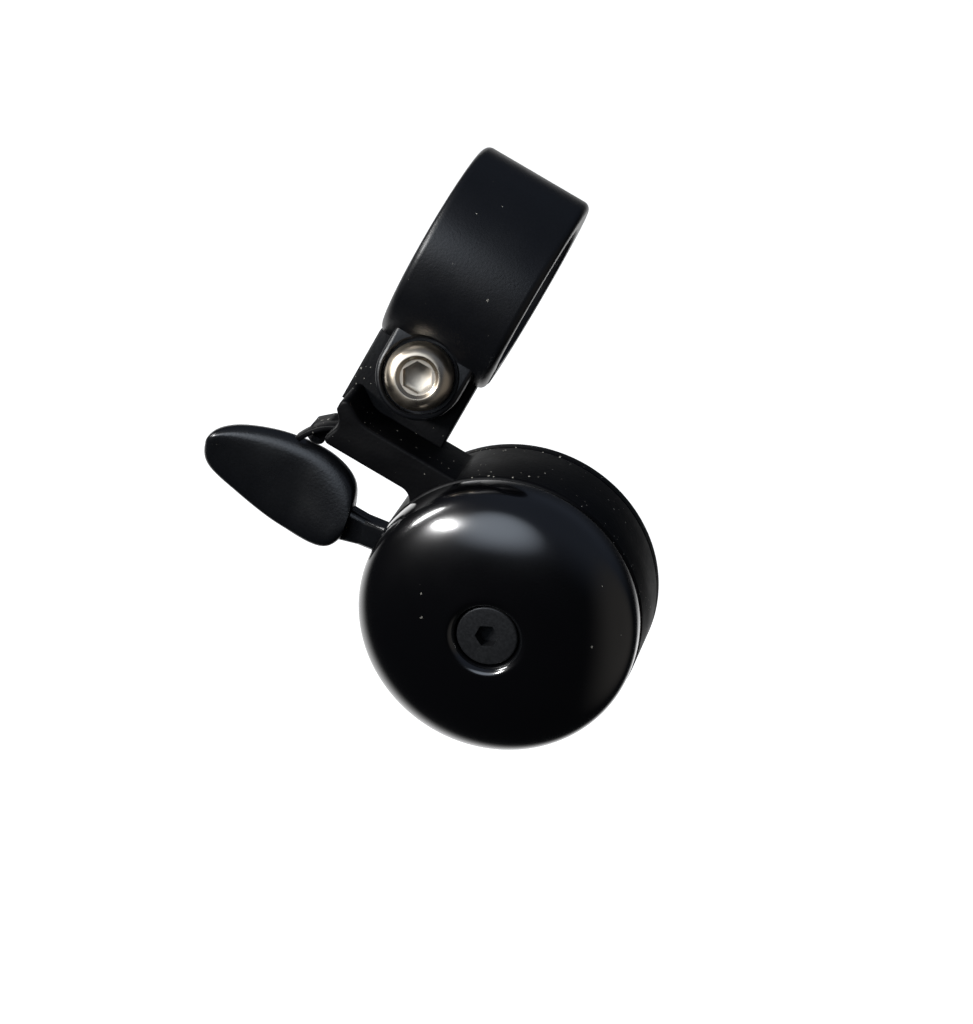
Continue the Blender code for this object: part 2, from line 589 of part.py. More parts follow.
def make_housing_arm(parent, material):
    """Housing ring, arm and tongue, moulded as one, with a slot for the lever and bosses for the cover."""
    edge = HOUSING_EDGE
    wall = [
        (HOUSING_INNER, HOUSING_BACK), (HOUSING_OUTER, HOUSING_BACK), (HOUSING_OUTER, HOUSING_FRONT - edge),
        (HOUSING_OUTER - edge, HOUSING_FRONT), (HOUSING_INNER, HOUSING_FRONT),
    ]
    arm = prism(arm_outline(), HOUSING_BACK + ARM_BACK_STEP, HOUSING_FRONT - ARM_FRONT_STEP, ARM_EDGE)
    piece = add("housing_arm", arm, parent, material)
    cut(piece, root=rod(HOUSING_INNER + HOUSING_WALL / 2, HOUSING_BACK * 2, -HOUSING_BACK, ROUND_STEPS))
    seat = bumper_seat()
    top = -(BAND_INNER + TONGUE_BAR_GAP)
    foot = -(EAR_REACH + TONGUE_ROOT)
    corner = TONGUE_CORNER
    tongue = [
        (-TONGUE_LEFT, foot), (TONGUE_RIGHT, foot), (TONGUE_RIGHT, top - corner), (TONGUE_RIGHT - corner, top),
        (corner - TONGUE_LEFT, top), (-TONGUE_LEFT, top - corner),
    ]
    bosses, holes = {}, {}
    for number, angle in enumerate(COVER_SCREW_ANGLES, 1):
        place = polar(COVER_SCREW_CIRCLE, angle)
        boss = rod(COVER_BOSS, HOUSING_BACK + COVER_BOSS_STEP, HOUSING_BACK + COVER_BOSS_HEIGHT)
        bosses[f"boss_{number}"] = moved(boss, place.x, place.y)
        hole = rod(COVER_SCREW_HOLE, HOUSING_BACK * 2, HOUSING_BACK + COVER_SCREW_GRIP + CLEARANCE)
        holes[f"screw_hole_{number}"] = moved(hole, place.x, place.y)
    join(
        piece,
        ring=lathe(wall),
        hook=prism(hook_outline(), seat.z - HOOK_WIDTH / 2, seat.z + HOOK_WIDTH / 2, HOOK_EDGE, 1),
        tongue=from_clamp(prism(tongue, -TONGUE_THICKNESS / 2, TONGUE_THICKNESS / 2)),
        **bosses,
    )
    pocket = tab(EAR_RADIUS + CLEARANCE, BAND_OUTER, -BOLT_DROP)
    face = TONGUE_THICKNESS / 2 - EAR_SEAT_DEPTH
    cut(
        piece,
        front_pocket=from_clamp(prism(pocket, face, EAR_FRONT * 3)),
        rear_pocket=from_clamp(prism(pocket, EAR_REAR * 3, -face)),
        bolt_hole=from_clamp(moved(rod(BOLT_HOLE, EAR_REAR, EAR_FRONT), y=-BOLT_DROP)),
        lever_slot=lever_slot(),
        **holes,
    )


def make_back_cover(parent, material):
    """The round plate that closes the housing and carries the post and both pivot pins."""
    edge = COVER_EDGE
    disc = [
        (0, COVER_BACK), (HOUSING_OUTER - edge, COVER_BACK),
        (HOUSING_OUTER - edge * CORNER_SHARE, COVER_BACK + edge * CORNER_SHARE),
        (HOUSING_OUTER, COVER_BACK + edge), (HOUSING_OUTER, COVER_FRONT), (0, COVER_FRONT),
    ]
    cover = add("back_cover", lathe(disc), parent, material)
    pivots = (
        ("lever", LEVER_PIVOT, BUSH_INNER, HUB_RADIUS, HUB_LOW - CLEARANCE),
        ("hammer", HAMMER_PIVOT, HAMMER_PIN_HOLE, HAMMER_PIN_HOLE + HAMMER_BOSS_WALL, PINION_LOW - CLEARANCE),
    )
    middle = (COVER_FRONT + COVER_BACK) / 2
    bosses, holes = {}, {"post_hole": rod(SCREW_HOLE, COVER_BACK * 2, 0)}
    for name, place, hole, boss, top in pivots:
        bosses[f"{name}_boss"] = moved(rod(boss, middle, top, MEDIUM_STEPS), place.x, place.y)
        seat = rod(hole, COVER_FRONT - PIN_SEAT - CLEARANCE, top + COVER_THICKNESS)
        holes[f"{name}_seat"] = moved(seat, place.x, place.y)
    for number, angle in enumerate(COVER_SCREW_ANGLES, 1):
        place = polar(COVER_SCREW_CIRCLE, angle)
        mouth = COVER_SCREW_HEAD / 2 + CONE_OFFSET
        drop = mouth - COVER_SCREW_HOLE
        sink = [
            (0, COVER_BACK - drop), (mouth + drop, COVER_BACK - drop), (COVER_SCREW_HOLE, COVER_BACK + drop),
            (COVER_SCREW_HOLE, 0), (0, 0),
        ]
        holes[f"sink_{number}"] = moved(lathe(sink, SMALL_STEPS), place.x, place.y)
    join(cover, **bosses)
    cut(cover, **holes)


def make_cover_screws(parent, material):
    """Three countersunk screws with a slot, from the back."""
    radius, head = COVER_SCREW_DIAMETER / 2, COVER_SCREW_HEAD / 2
    tip = HOUSING_BACK + COVER_SCREW_GRIP
    profile = [
        (0, COVER_BACK), (head, COVER_BACK), (radius, COVER_BACK + head - radius), (radius, tip), (0, tip),
    ]
    half = SCREW_SLOT_WIDTH / 2
    slot = [(-head * 2, -half), (head * 2, -half), (head * 2, half), (-head * 2, half)]
    for number, angle in enumerate(COVER_SCREW_ANGLES, 1):
        place = polar(COVER_SCREW_CIRCLE, angle)
        shape = moved(lathe(profile, SMALL_STEPS), place.x, place.y)
        screw = add(f"cover_screw_{number}", shape, parent, material)
        groove = prism(slot, COVER_BACK - head, COVER_BACK + SCREW_SLOT_DEPTH)
        cut(screw, slot=moved(groove, place.x, place.y))


def make_post(parent, material):
    """The threaded post on the bell's axis, with a flange on the cover."""
    flange = POST_RADIUS + POST_FLANGE
    step = POST_FOOT + POST_FLANGE_HEIGHT
    profile = [
        (SCREW_HOLE, POST_FOOT), (flange, POST_FOOT), (flange, step), (POST_RADIUS, step),
        (POST_RADIUS, POST_TOP), (SCREW_HOLE, POST_TOP),
    ]
    add("gong_post", lathe(profile, MEDIUM_STEPS), parent, material)


def make_post_screw(parent, material):
    """Pan-head screw from behind, which draws the post down on the cover."""
    seat = COVER_BACK - CLEARANCE
    back = seat - POST_SCREW_HEAD_HEIGHT
    head, radius = POST_SCREW_HEAD / 2, GONG_SCREW_DIAMETER / 2
    tip, edge = seat + POST_SCREW_LENGTH, POST_SCREW_ROUND
    profile = [
        (0, back), (head - edge, back), (head - edge * CORNER_SHARE, back + edge * CORNER_SHARE),
        (head, back + edge), (head, seat), (radius, seat), (radius, tip), (0, tip),
    ]
    screw = add("post_screw", lathe(profile, MEDIUM_STEPS), parent, material)
    cut(screw, socket=prism(hexagon(GONG_SCREW_SOCKET), back * 2, back + GONG_SCREW_SOCKET_DEPTH))


def make_isolator(parent, material):
    outer = POST_RADIUS + ISOLATOR_RIM
    ring = tube(SCREW_HOLE, outer, ISOLATOR_TOP - ISOLATOR_THICKNESS, ISOLATOR_TOP, MEDIUM_STEPS)
    add("isolator_washer", ring, parent, material)


def gong_curve(radius, height, steps, last_radius):
    """From the skirt's top to last_radius, on a superellipse: points of radius and z."""
    power = 2 / GONG_FULLNESS
    end = math.acos((last_radius / radius) ** (1 / power))
    points = []
    for i in range(steps + 1):
        t = end * i / steps
        points.append((radius * math.cos(t) ** power, GONG_SKIRT + height * math.sin(t) ** power))
    return points


def make_gong(parent, material):
    """The bell dome: a turned shell with a dished middle that seats the countersunk screw."""
    rise = GONG_HEIGHT - GONG_SKIRT
    seat_top = GONG_SCREW_HEAD / 2 + CONE_OFFSET + CLEARANCE
    lift = SEAT_BOTTOM - SCREW_HOLE
    roll = GONG_CROWN_ROLL
    outside = gong_curve(GONG_RADIUS, rise, 11, seat_top + roll)
    crown = outside[-1][1]
    seat_edge = seat_top + lift
    dish = [
        (seat_top + roll * (1 - math.sin(t)), seat_edge + (crown - seat_edge) * math.cos(t))
        for t in (math.pi / 6, math.pi / 3, math.pi / 2)
    ]
    dish.append((SCREW_HOLE, SEAT_BOTTOM))
    under = GONG_WALL * (math.sqrt(2) - 1)
    knee = seat_top + GONG_WALL
    below = [
        (SCREW_HOLE, SEAT_UNDERSIDE), (SCREW_HOLE + under, SEAT_UNDERSIDE),
        (knee, knee + lift - GONG_WALL * math.sqrt(2)),
    ]
    inside = gong_curve(GONG_INNER, rise - GONG_WALL, 9, seat_top + GONG_WALL + roll)
    bead = GONG_RIM_ROUND
    rim = [(GONG_INNER, bead), (GONG_INNER + bead, 0), (GONG_RADIUS - bead, 0), (GONG_RADIUS, bead)]
    add("bell_dome", lathe(rim + outside + dish + below + inside[::-1]), parent, material)


def make_gong_screw(parent, material):
    """Flat countersunk screw in the dome's middle, with a hexagon socket."""
    head, radius = GONG_SCREW_HEAD / 2, GONG_SCREW_DIAMETER / 2
    land = SCREW_TOP - GONG_SCREW_LAND
    tip = SCREW_TOP - GONG_SCREW_LENGTH
    profile = [
        (0, tip), (radius, tip), (radius, land - head + radius), (head, land), (head, SCREW_TOP),
        (0, SCREW_TOP),
    ]
    screw = add("gong_screw", lathe(profile, MEDIUM_STEPS), parent, material)
    cut(screw, socket=prism(hexagon(GONG_SCREW_SOCKET), SCREW_TOP - GONG_SCREW_SOCKET_DEPTH, SCREW_TOP * 2))


def tooth_outline(teeth, first, count):
    """The outline of teeth at even angles from first, on involute flanks, from root to root."""
    pitch = TOOTH_MODULE * teeth / 2
    base = pitch * math.cos(PRESSURE_ANGLE)
    root = pitch - TOOTH_DEDENDUM * TOOTH_MODULE
    tip = pitch + TOOTH_ADDENDUM * TOOTH_MODULE
    half = (math.pi * TOOTH_MODULE / 2 - TOOTH_BACKLASH) / (2 * pitch)
    spread = half + math.tan(PRESSURE_ANGLE) - PRESSURE_ANGLE
    flank = [(root, spread)] if root < base else []
    start = max(base, root)
    for i in range(FLANK_STEPS + 1):
        radius = start + (tip - start) * i / FLANK_STEPS
        roll = math.acos(min(1.0, base / radius))
        flank.append((radius, spread - math.tan(roll) + roll))
    points = []
    for tooth in range(count):
        middle = first + math.tau * tooth / teeth
        points += [polar(radius, middle - angle) for radius, angle in flank]
        points += [polar(radius, middle + angle) for radius, angle in reversed(flank)]
    return points


def make_lever(parent, material):
    """Paddle, neck, hub and toothed sector, on the lever's pivot."""
    lever = add("thumb_lever", rod(HUB_RADIUS, HUB_LOW, HUB_HIGH, MEDIUM_STEPS), parent, material)
    neck_end = PADDLE_ROOT + PADDLE_EDGE * 2
    neck = [(0, 0), (neck_end, 0), (neck_end, NECK_WIDTH), (0, NECK_WIDTH)]
    paddle = prism(paddle_outline(), -PADDLE_THICKNESS / 2, PADDLE_THICKNESS / 2, PADDLE_EDGE, 3)
    teeth = PINION_TEETH * GEAR_RATIO
    first = MESH_ANGLE - PADDLE_ANGLE - SECTOR_TEETH_BEFORE * math.tau / teeth
    sector = [Vector((0, 0))] + tooth_outline(teeth, first, SECTOR_TEETH_BEFORE + 1)
    half = SECTOR_THICKNESS / 2
    join(
        lever,
        neck=prism(neck, NECK_LOW, NECK_LOW + NECK_THICKNESS, NECK_EDGE, 1),
        paddle=moved(turned(paddle, PADDLE_TURN, "X"), z=LEVER_PLANE),
        sector=prism(sector, LEVER_PLANE - half, LEVER_PLANE + half),
    )
    cut(lever, bore=rod(BUSH_OUTER + CLEARANCE, HUB_LOW * 2, 0))


def make_lever_bush(parent, material):
    add("lever_bush", tube(BUSH_INNER, BUSH_OUTER, HUB_LOW, BUSH_TOP), parent, material)


def make_pin(name, radius, shoulder, parent, place, material):
    """A pivot pin from the cover up past shoulder, with a groove for its clip."""
    groove = radius - CLIP_GROOVE_DEPTH
    groove_top = shoulder + CLIP_THICKNESS + 2 * CLEARANCE
    profile = [
        (0, COVER_FRONT - PIN_SEAT), (radius, COVER_FRONT - PIN_SEAT), (radius, shoulder), (groove, shoulder),
        (groove, groove_top), (radius, groove_top), (radius, groove_top + PIN_TIP), (0, groove_top + PIN_TIP),
    ]
    add(name, moved(lathe(profile, SMALL_STEPS), place.x, place.y), parent, material)


def make_clip(name, radius, shoulder, parent, place, material):
    """An open ring in the pin's groove."""
    inner = radius - CLIP_GROOVE_DEPTH + CLEARANCE
    first, last = CLIP_OPENING / 2, math.tau - CLIP_OPENING / 2
    outline = arc((0, 0), inner, first, last, 14) + arc((0, 0), inner + CLIP_WIDTH, last, first, 14)
    low = shoulder + CLEARANCE
    add(name, moved(prism(outline, low, low + CLIP_THICKNESS), place.x, place.y), parent, material)


def spring_points():
    """The spring's middle line about the lever's pivot: hooked free leg, coil, straight leg past the post."""
    steps = round((SPRING_LAST - SPRING_FIRST) / math.tau * SPRING_STEPS)
    coil = []
    for i in range(steps + 1):
        angle = SPRING_FIRST + (SPRING_LAST - SPRING_FIRST) * i / steps
        rise = SPRING_PITCH * (angle - SPRING_FIRST) / math.tau
        coil.append(polar(SPRING_RADIUS, angle).to_3d() + Vector((0, 0, SPRING_START + rise)))
    free = polar(SPRING_FREE_LEG, PADDLE_ANGLE).to_3d()
    hook = Vector((0, 0, LEVER_PLANE - SPRING_START))
    onward = -LEVER_PIVOT.normalized() * (LEVER_PIVOT.length + SPRING_POST_REACH)
    return [coil[0] + free + hook, coil[0] + free, *coil, coil[-1] + onward.to_3d()]


def least_gap(points, wire):
    """The least distance between stretches of a wire that aren't neighbours, less its thickness."""
    dense = []
    for a, b in zip(points, points[1:]):
        parts = max(1, round((b - a).length / (wire / 2)))
        dense += [a.lerp(b, i / parts) for i in range(parts)]
    apart = round(4 * math.pi)
    return min(
        (dense[i] - dense[k]).length - wire for i in range(len(dense)) for k in range(i + apart, len(dense))
    )


def make_spring(parent, material):
    """Torsion spring of round wire about the lever's bush."""
    points = spring_points()
    print(f"lever_spring least gap to itself: {least_gap(points, SPRING_WIRE) / MM:.2f} mm")
    curve = bpy.data.curves.new("lever_spring", "CURVE")
    curve.dimensions = "3D"
    curve.bevel_depth = SPRING_WIRE / 2
    curve.bevel_resolution = 1
    curve.use_fill_caps = True
    spline = curve.splines.new("POLY")
    spline.points.add(len(points) - 1)
    for point, place in zip(spline.points, points):
        point.co = (*place, 1.0)
    curve.materials.append(material)
    spring = bpy.data.objects.new("lever_spring", curve)
    spring.parent = parent
    spring.location = LEVER_PIVOT.to_3d()
    bpy.context.scene.collection.objects.link(spring)


def make_pinion(parent, material):
    """The hammer's pinion, with a square spigot for the arm."""
    tooth = math.tau / PINION_TEETH
    first = MESH_ANGLE + math.pi - HAMMER_REST_ANGLE + tooth / 2
    wheel = tooth_outline(PINION_TEETH, first, PINION_TEETH)
    pinion = add("hammer_pinion", prism(wheel, PINION_LOW, PINION_LOW + PINION_FACE), parent, material)
    shoulder_top = HAMMER_ARM_LOW - CLEARANCE
    square = polygon(4, SPIGOT_SIDE / math.sqrt(2), math.pi / 4)
    join(
        pinion,
        shoulder=rod(SHOULDER_DIAMETER / 2, LEVER_PLANE, shoulder_top, MEDIUM_STEPS),
        spigot=prism(square, LEVER_PLANE, SPIGOT_TOP),
    )
    cut(pinion, bore=rod(HAMMER_PIN_HOLE, PINION_LOW * 2, 0))


def make_hammer_arm(parent, material):
    """A spring-steel strip from the spigot to the head."""
    root = HAMMER_ARM_ROOT / 2
    eye = HAMMER_STUD_DIAMETER / 2 + CLEARANCE
    tip = eye + HAMMER_EYE_WALL
    from_root, to_tip = (math.asin(HAMMER_ARM_WIDTH / 2 / radius) for radius in (root, tip))
    outline = arc((0, 0), root, from_root, math.tau - from_root, 16)
    outline += arc((HAMMER_REACH, 0), tip, to_tip - math.pi, math.pi - to_tip, 10)
    arm = add("hammer_arm", prism(outline, HAMMER_ARM_LOW, HAMMER_ARM_HIGH), parent, material)
    square = polygon(4, SPIGOT_SIDE / math.sqrt(2) + CONE_OFFSET, math.pi / 4)
    hole = prism(square, HAMMER_ARM_LOW * 2, 0)
    cut(arm, spigot_hole=hole, eye=moved(rod(eye, HAMMER_ARM_LOW * 2, 0), HAMMER_REACH))


def make_hammer_head(parent, material):
    """Turned steel head, riveted through the arm's eye."""
    stud, neck = HAMMER_STUD_DIAMETER / 2, HAMMER_NECK_DIAMETER / 2
    rivet, head = HAMMER_RIVET_DIAMETER / 2, HAMMER_HEAD_DIAMETER / 2
    rivet_top = HAMMER_ARM_LOW - CLEARANCE
    neck_low = HAMMER_ARM_HIGH + CLEARANCE
    top, edge = HAMMER_HEAD_HEIGHT, HAMMER_HEAD_ROUND
    profile = [
        (0, rivet_top - HAMMER_RIVET_HEIGHT), (rivet, rivet_top - HAMMER_RIVET_HEIGHT), (rivet, rivet_top),
        (stud, rivet_top), (stud, neck_low), (neck, neck_low), (neck, 0), (head - edge, 0), (head, edge),
        (head, top - edge), (head - edge * CORNER_SHARE, top - edge * CORNER_SHARE), (head - edge, top),
        (0, top),
    ]
    add("hammer_head", moved(lathe(profile, MEDIUM_STEPS), HAMMER_REACH), parent, material)


def make_bumper(parent, material):
    """Rubber button under the stop hook, on which the paddle rests."""
    seat = bumper_seat()
    radius, edge = BUMPER_DIAMETER / 2, BUMPER_HEIGHT / 4
    profile = [
        (0, 0), (radius - edge, 0), (radius, edge), (radius, BUMPER_HEIGHT), (0, BUMPER_HEIGHT),
    ]
    button = turned(lathe(profile, SMALL_STEPS), -math.pi / 2, "X")
    add("stop_bumper", moved(button, *seat), parent, material)


def main():
    clear_scene()
    black_band = finish("black_coated_aluminium", (0.016, 0.016, 0.018), 0.45, 0.3)
    stainless = finish("stainless_steel", (0.62, 0.58, 0.53), 0.25, 1.0)
    black_nylon = finish("black_moulded_nylon", (0.014, 0.014, 0.016), 0.55)
    satin_plastic = finish("satin_black_plastic", (0.025, 0.025, 0.028), 0.42)
    gloss_black = finish("black_enamelled_steel", (0.008, 0.008, 0.01), 0.18)
    black_oxide = finish("black_oxide_steel", (0.03, 0.03, 0.032), 0.4, 0.8)
    zinc = finish("zinc_plated_steel", (0.6, 0.6, 0.62), 0.3, 1.0)
    brass = finish("brass", (0.72, 0.53, 0.22), 0.28, 1.0)
    spring_steel = finish("spring_steel", (0.35, 0.34, 0.34), 0.3, 1.0)
    rubber = finish("black_rubber", (0.02, 0.02, 0.02), 0.85)

    clamp = frame("clamp_frame", (0, 0, 0), (CLAMP_TURN, 0, 0))
    bell = frame("bell_frame", BELL_PLACE, (BELL_TURN, 0, 0))
    lever = frame("lever_axis", LEVER_PIVOT.to_3d(), (0, 0, PADDLE_ANGLE), bell)
    hammer = frame("hammer_axis", HAMMER_PIVOT.to_3d(), (0, 0, HAMMER_REST_ANGLE), bell)

    make_clamp_band(clamp, black_band)
    make_clamp_bolt(clamp, stainless)
    make_clamp_washer(clamp, stainless)
    make_clamp_nut(clamp, zinc)
    make_housing_arm(bell, black_nylon)
    make_back_cover(bell, black_nylon)
    make_cover_screws(bell, zinc)
    make_post(bell, zinc)
    make_post_screw(bell, zinc)
    make_isolator(bell, rubber)
    make_gong(bell, gloss_black)
    make_gong_screw(bell, black_oxide)
    make_bumper(bell, rubber)
    make_lever(lever, satin_plastic)
    make_lever_bush(lever, brass)
    make_pin("lever_pin", LEVER_PIN_DIAMETER / 2, BUSH_TOP, bell, LEVER_PIVOT, zinc)
    make_clip("lever_clip", LEVER_PIN_DIAMETER / 2, BUSH_TOP, bell, LEVER_PIVOT, spring_steel)
    make_spring(bell, spring_steel)
    make_pinion(hammer, brass)
    make_hammer_arm(hammer, spring_steel)
    make_hammer_head(hammer, zinc)
    make_pin("hammer_pin", HAMMER_PIN_DIAMETER / 2, SPIGOT_TOP, bell, HAMMER_PIVOT, zinc)
    make_clip("hammer_clip", HAMMER_PIN_DIAMETER / 2, SPIGOT_TOP, bell, HAMMER_PIVOT, spring_steel)


if __name__ == "__main__":
    main()
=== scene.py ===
"""Looks of a handlebar bell: fine meshes and finishes for its pieces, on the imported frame.

Units are metres. +X runs along the band's bore, +Y away from the rider and +Z up, with the origin in the
middle of the band. The clamp, the bell, the lever and the front of the arm each have a frame of their own,
in which x runs along the bore, y is up and z points at the rider. Shapes are drawn there, then put in place.
"""

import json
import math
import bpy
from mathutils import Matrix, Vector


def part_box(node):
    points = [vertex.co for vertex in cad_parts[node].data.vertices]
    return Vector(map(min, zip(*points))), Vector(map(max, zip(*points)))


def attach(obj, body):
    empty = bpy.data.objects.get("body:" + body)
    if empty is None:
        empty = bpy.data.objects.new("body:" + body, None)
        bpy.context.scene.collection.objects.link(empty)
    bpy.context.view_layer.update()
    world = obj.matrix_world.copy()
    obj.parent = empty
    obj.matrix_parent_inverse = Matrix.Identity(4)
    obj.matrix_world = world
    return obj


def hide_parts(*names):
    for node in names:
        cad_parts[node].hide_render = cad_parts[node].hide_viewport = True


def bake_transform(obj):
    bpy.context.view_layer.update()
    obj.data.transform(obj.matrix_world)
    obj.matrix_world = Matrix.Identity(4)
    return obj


bl_info = {
    "name": "Handlebar bell",
    "version": (1, 0, 0),
    "blender": (4, 5, 0),
    "location": "View3D > Sidebar > Bell",
    "description": "Models and finishes a thumb-lever handlebar bell on its packed frame",
    "category": "Add Mesh",
}

import bmesh
import bpy
from bpy.props import FloatProperty, FloatVectorProperty, PointerProperty
from mathutils import Matrix, Vector

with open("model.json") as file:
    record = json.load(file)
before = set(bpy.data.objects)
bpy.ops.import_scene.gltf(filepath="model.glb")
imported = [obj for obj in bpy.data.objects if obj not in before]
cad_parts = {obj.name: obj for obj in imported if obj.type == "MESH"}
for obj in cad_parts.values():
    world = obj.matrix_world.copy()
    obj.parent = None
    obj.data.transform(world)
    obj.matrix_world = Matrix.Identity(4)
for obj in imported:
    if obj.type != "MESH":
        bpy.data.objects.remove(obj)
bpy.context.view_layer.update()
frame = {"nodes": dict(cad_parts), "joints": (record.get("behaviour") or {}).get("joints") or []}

MM = 0.001
ROUND_STEPS = 160
SMALL_STEPS = 64
HEAD_STEPS = 96
GONG_STEPS = 192
SHARP_ANGLE = math.radians(32)
WELD = 1e-7
# Radians by which a wave texture's phase grows over one cell of its scale
WAVE_RATE = 20
# Room between pieces that fit together, and the slit that shows between the housing and its cover
FIT = 0.3 * MM
SEAM = 0.03 * MM


def across(node, axis):
    """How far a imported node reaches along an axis, 0 for x to 2 for z."""
    low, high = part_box(node)
    return high[axis] - low[axis]


def middle(node, axis):
    low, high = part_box(node)
    return (high[axis] + low[axis]) / 2


def linear(colour):
    """An sRGB hex colour as linear red, green and blue, with full alpha."""
    parts = [int(colour[i:i + 2], 16) / 255 for i in (1, 3, 5)]
    return (*(p / 12.92 if p <= 0.04045 else ((p + 0.055) / 1.055) ** 2.4 for p in parts), 1.0)


def length(name, description, default):
    return FloatProperty(
        name=name, description=description, default=default, min=0, unit="LENGTH", precision=4
    )


def angle(name, description, degrees):
    return FloatProperty(
        name=name, description=description, default=math.radians(degrees), subtype="ANGLE"
    )


def colour(name, description, default):
    return FloatVectorProperty(
        name=name, description=description, default=linear(default), size=4, min=0, max=1, subtype="COLOR"
    )


class ClampSizes(bpy.types.PropertyGroup):
    """Sizes of the split band and of the bolt across its ears."""

    lean: angle("Lean", "How far the clamp's split leans back from straight ahead", 17)
    band_bore: length("Bore", "Diameter of the band's bore", 22.4 * MM)
    band_wall: length("Wall", "Thickness of the band", 3.8 * MM)
    band_width: length("Width", "Width of the band along its bore", across("clamp_band", 0))
    band_round: length("Edge", "Rounding of the band's outer edges", 1.1 * MM)
    ear_radius: length("Ear", "Radius of the ears' round ends", 6.2 * MM)
    ear_front: length("Ear front", "From the clamp's middle plane to the front ear's face", 8.1 * MM)
    ear_rear: length("Ear rear", "From the clamp's middle plane to the rear ear's face", 6.9 * MM)
    split: length("Split", "Width of the slit between the ears", 4.6 * MM)
    seat: length("Seat", "From the clamp's middle plane to the floor of the bolt's spot-face", 5.9 * MM)
    seat_radius: length("Seat radius", "Radius of the bolt's spot-face", 5.4 * MM)
    bolt_drop: length("Bolt drop", "From the bore's axis to the bolt's axis", 17.0 * MM)
    bolt_diameter: length("Bolt", "Diameter of the bolt's shank", 6.0 * MM)
    head_diameter: length("Head", "Diameter of the bolt's head", 9.7 * MM)
    head_height: length("Head height", "Height of the bolt's head", 3.3 * MM)
    mouth_diameter: length("Mouth", "Diameter of the round mouth over the bolt's socket", 6.0 * MM)
    socket: length("Socket", "Bolt's socket across its flats", 4.0 * MM)
    washer: length("Washer", "Thickness of the washer under the bolt's head", 0.8 * MM)
    nut: length("Nut", "Nut across its flats", 10.0 * MM)
    nut_height: length("Nut height", "Height of the nut", 4.0 * MM)


class BellSizes(bpy.types.PropertyGroup):
    """Sizes of the gong, the housing behind it and the arm that carries them."""

    gong_diameter: length("Gong", "Diameter of the gong", across("bell_dome", 0))
    gong_height: length("Gong height", "Height of the gong over its rim", across("bell_dome", 1))
    gong_skirt: length("Skirt", "Straight part of the gong at its rim", 1.6 * MM)
    gong_wall: length("Gong wall", "Thickness of the gong", 1.3 * MM)
    gong_fullness: FloatProperty(
        name="Fullness", description="How square the gong's shoulder is, 2 for an ellipse",
        default=2.4, min=1.5,
    )
    crown_roll: length("Crown roll", "Width over which the gong's crown rolls into its dish", 1.3 * MM)
    screw_head: length("Screw head", "Diameter of the gong screw's head", across("gong_screw", 0))
    screw_sink: length("Screw sink", "How deep the gong screw lies below the crown", 1.2 * MM)
    screw_room: length("Screw room", "Slit between the gong screw's head and the dish", 0.15 * MM)
    screw_socket: length("Screw socket", "Gong screw's socket across its flats", 3.0 * MM)
    housing_diameter: length("Housing", "Diameter of the housing", 40.2 * MM)
    housing_wall: length("Housing wall", "Thickness of the housing's wall", 1.4 * MM)
    housing_depth: length("Housing depth", "Depth of the housing", 11.8 * MM)
    housing_round: length("Housing edge", "Rounding of the housing's front edge", 0.5 * MM)
    rim_gap: length("Rim gap", "Slit between the gong's rim and the housing", 0.5 * MM)
    cover: length("Cover", "Thickness of the cover behind the housing", 2.0 * MM)
    cover_round: length("Cover edge", "Rounding of the cover's back edge", 0.8 * MM)
    arm: length("Arm", "Height of the arm", 5.4 * MM)
    arm_round: length("Arm edge", "Rounding of the arm's edges", 0.5 * MM)
    arm_fillet: length("Arm fillet", "Radius where the arm's top runs into the housing", 3.0 * MM)
    under_fillet: length("Under fillet", "Radius where the arm's underside runs into the housing", 2.0 * MM)
    hook: length("Hook", "Thickness of the stop hook over the paddle", 0.9 * MM)
    hook_width: length("Hook width", "Width of the stop hook", 2.2 * MM)
    pad: length("Pad", "Thickness of the pad over the bumper", 1.1 * MM)
    pad_width: length("Pad width", "Width of the pad over the bumper", 4.4 * MM)


class LeverSizes(bpy.types.PropertyGroup):
    """Sizes of the thumb lever."""

    paddle_angle: angle("Paddle angle", "Direction of the paddle about its pivot, from +X", 189.2)
    paddle_turn: angle("Paddle turn", "How far the paddle's face leans up towards the thumb", 12)
    paddle_root: length("Paddle root", "From the lever's pivot to the paddle", 12.5 * MM)
    paddle_length: length("Paddle length", "Length of the paddle", 23.7 * MM)
    paddle_width: length("Paddle width", "Width of the paddle", 13.8 * MM)
    paddle_thickness: length("Paddle thickness", "Thickness of the paddle at its crest", 4.0 * MM)
    paddle_taper: length("Paddle taper", "How much thinner the paddle is at its lower edge", 1.8 * MM)
    neck_width: length("Neck width", "Width of the neck between hub and paddle", 4.0 * MM)
    neck_thickness: length("Neck thickness", "Thickness of the neck", 3.2 * MM)
    spring_wire: length("Spring wire", "Diameter of the return spring's wire", 0.8 * MM)


class Finishes(bpy.types.PropertyGroup):
    """Colours of the finishes."""

    enamel: colour("Enamel", "Black enamel of the gong", "#030304")
    coating: colour("Coating", "Black coating of the clamp band", "#08090C")
    nylon: colour("Nylon", "Black nylon of the housing, arm and cover", "#030304")
    plastic: colour("Plastic", "Black plastic of the thumb lever", "#08090B")
    oxide: colour("Black oxide", "Black oxide of the gong's screw", "#2E2F31")
    stainless: colour("Stainless", "Stainless steel of the clamp's bolt", "#C9BDAB")
    zinc: colour("Zinc", "Zinc plate of the screws, pins and nut", "#C3C6CC")
    steel: colour("Spring steel", "Drawn and rolled spring steel", "#8E8C89")
    brass: colour("Brass", "Turned brass", "#D2AC5C")
    rubber: colour("Rubber", "Black rubber of the buffers", "#1A1A1B")
    dust: colour("Dust", "Grey dust on the upper sides", "#B9B5AA")
    floor: colour("Floor", "Pale studio floor", "#F4F4F2")


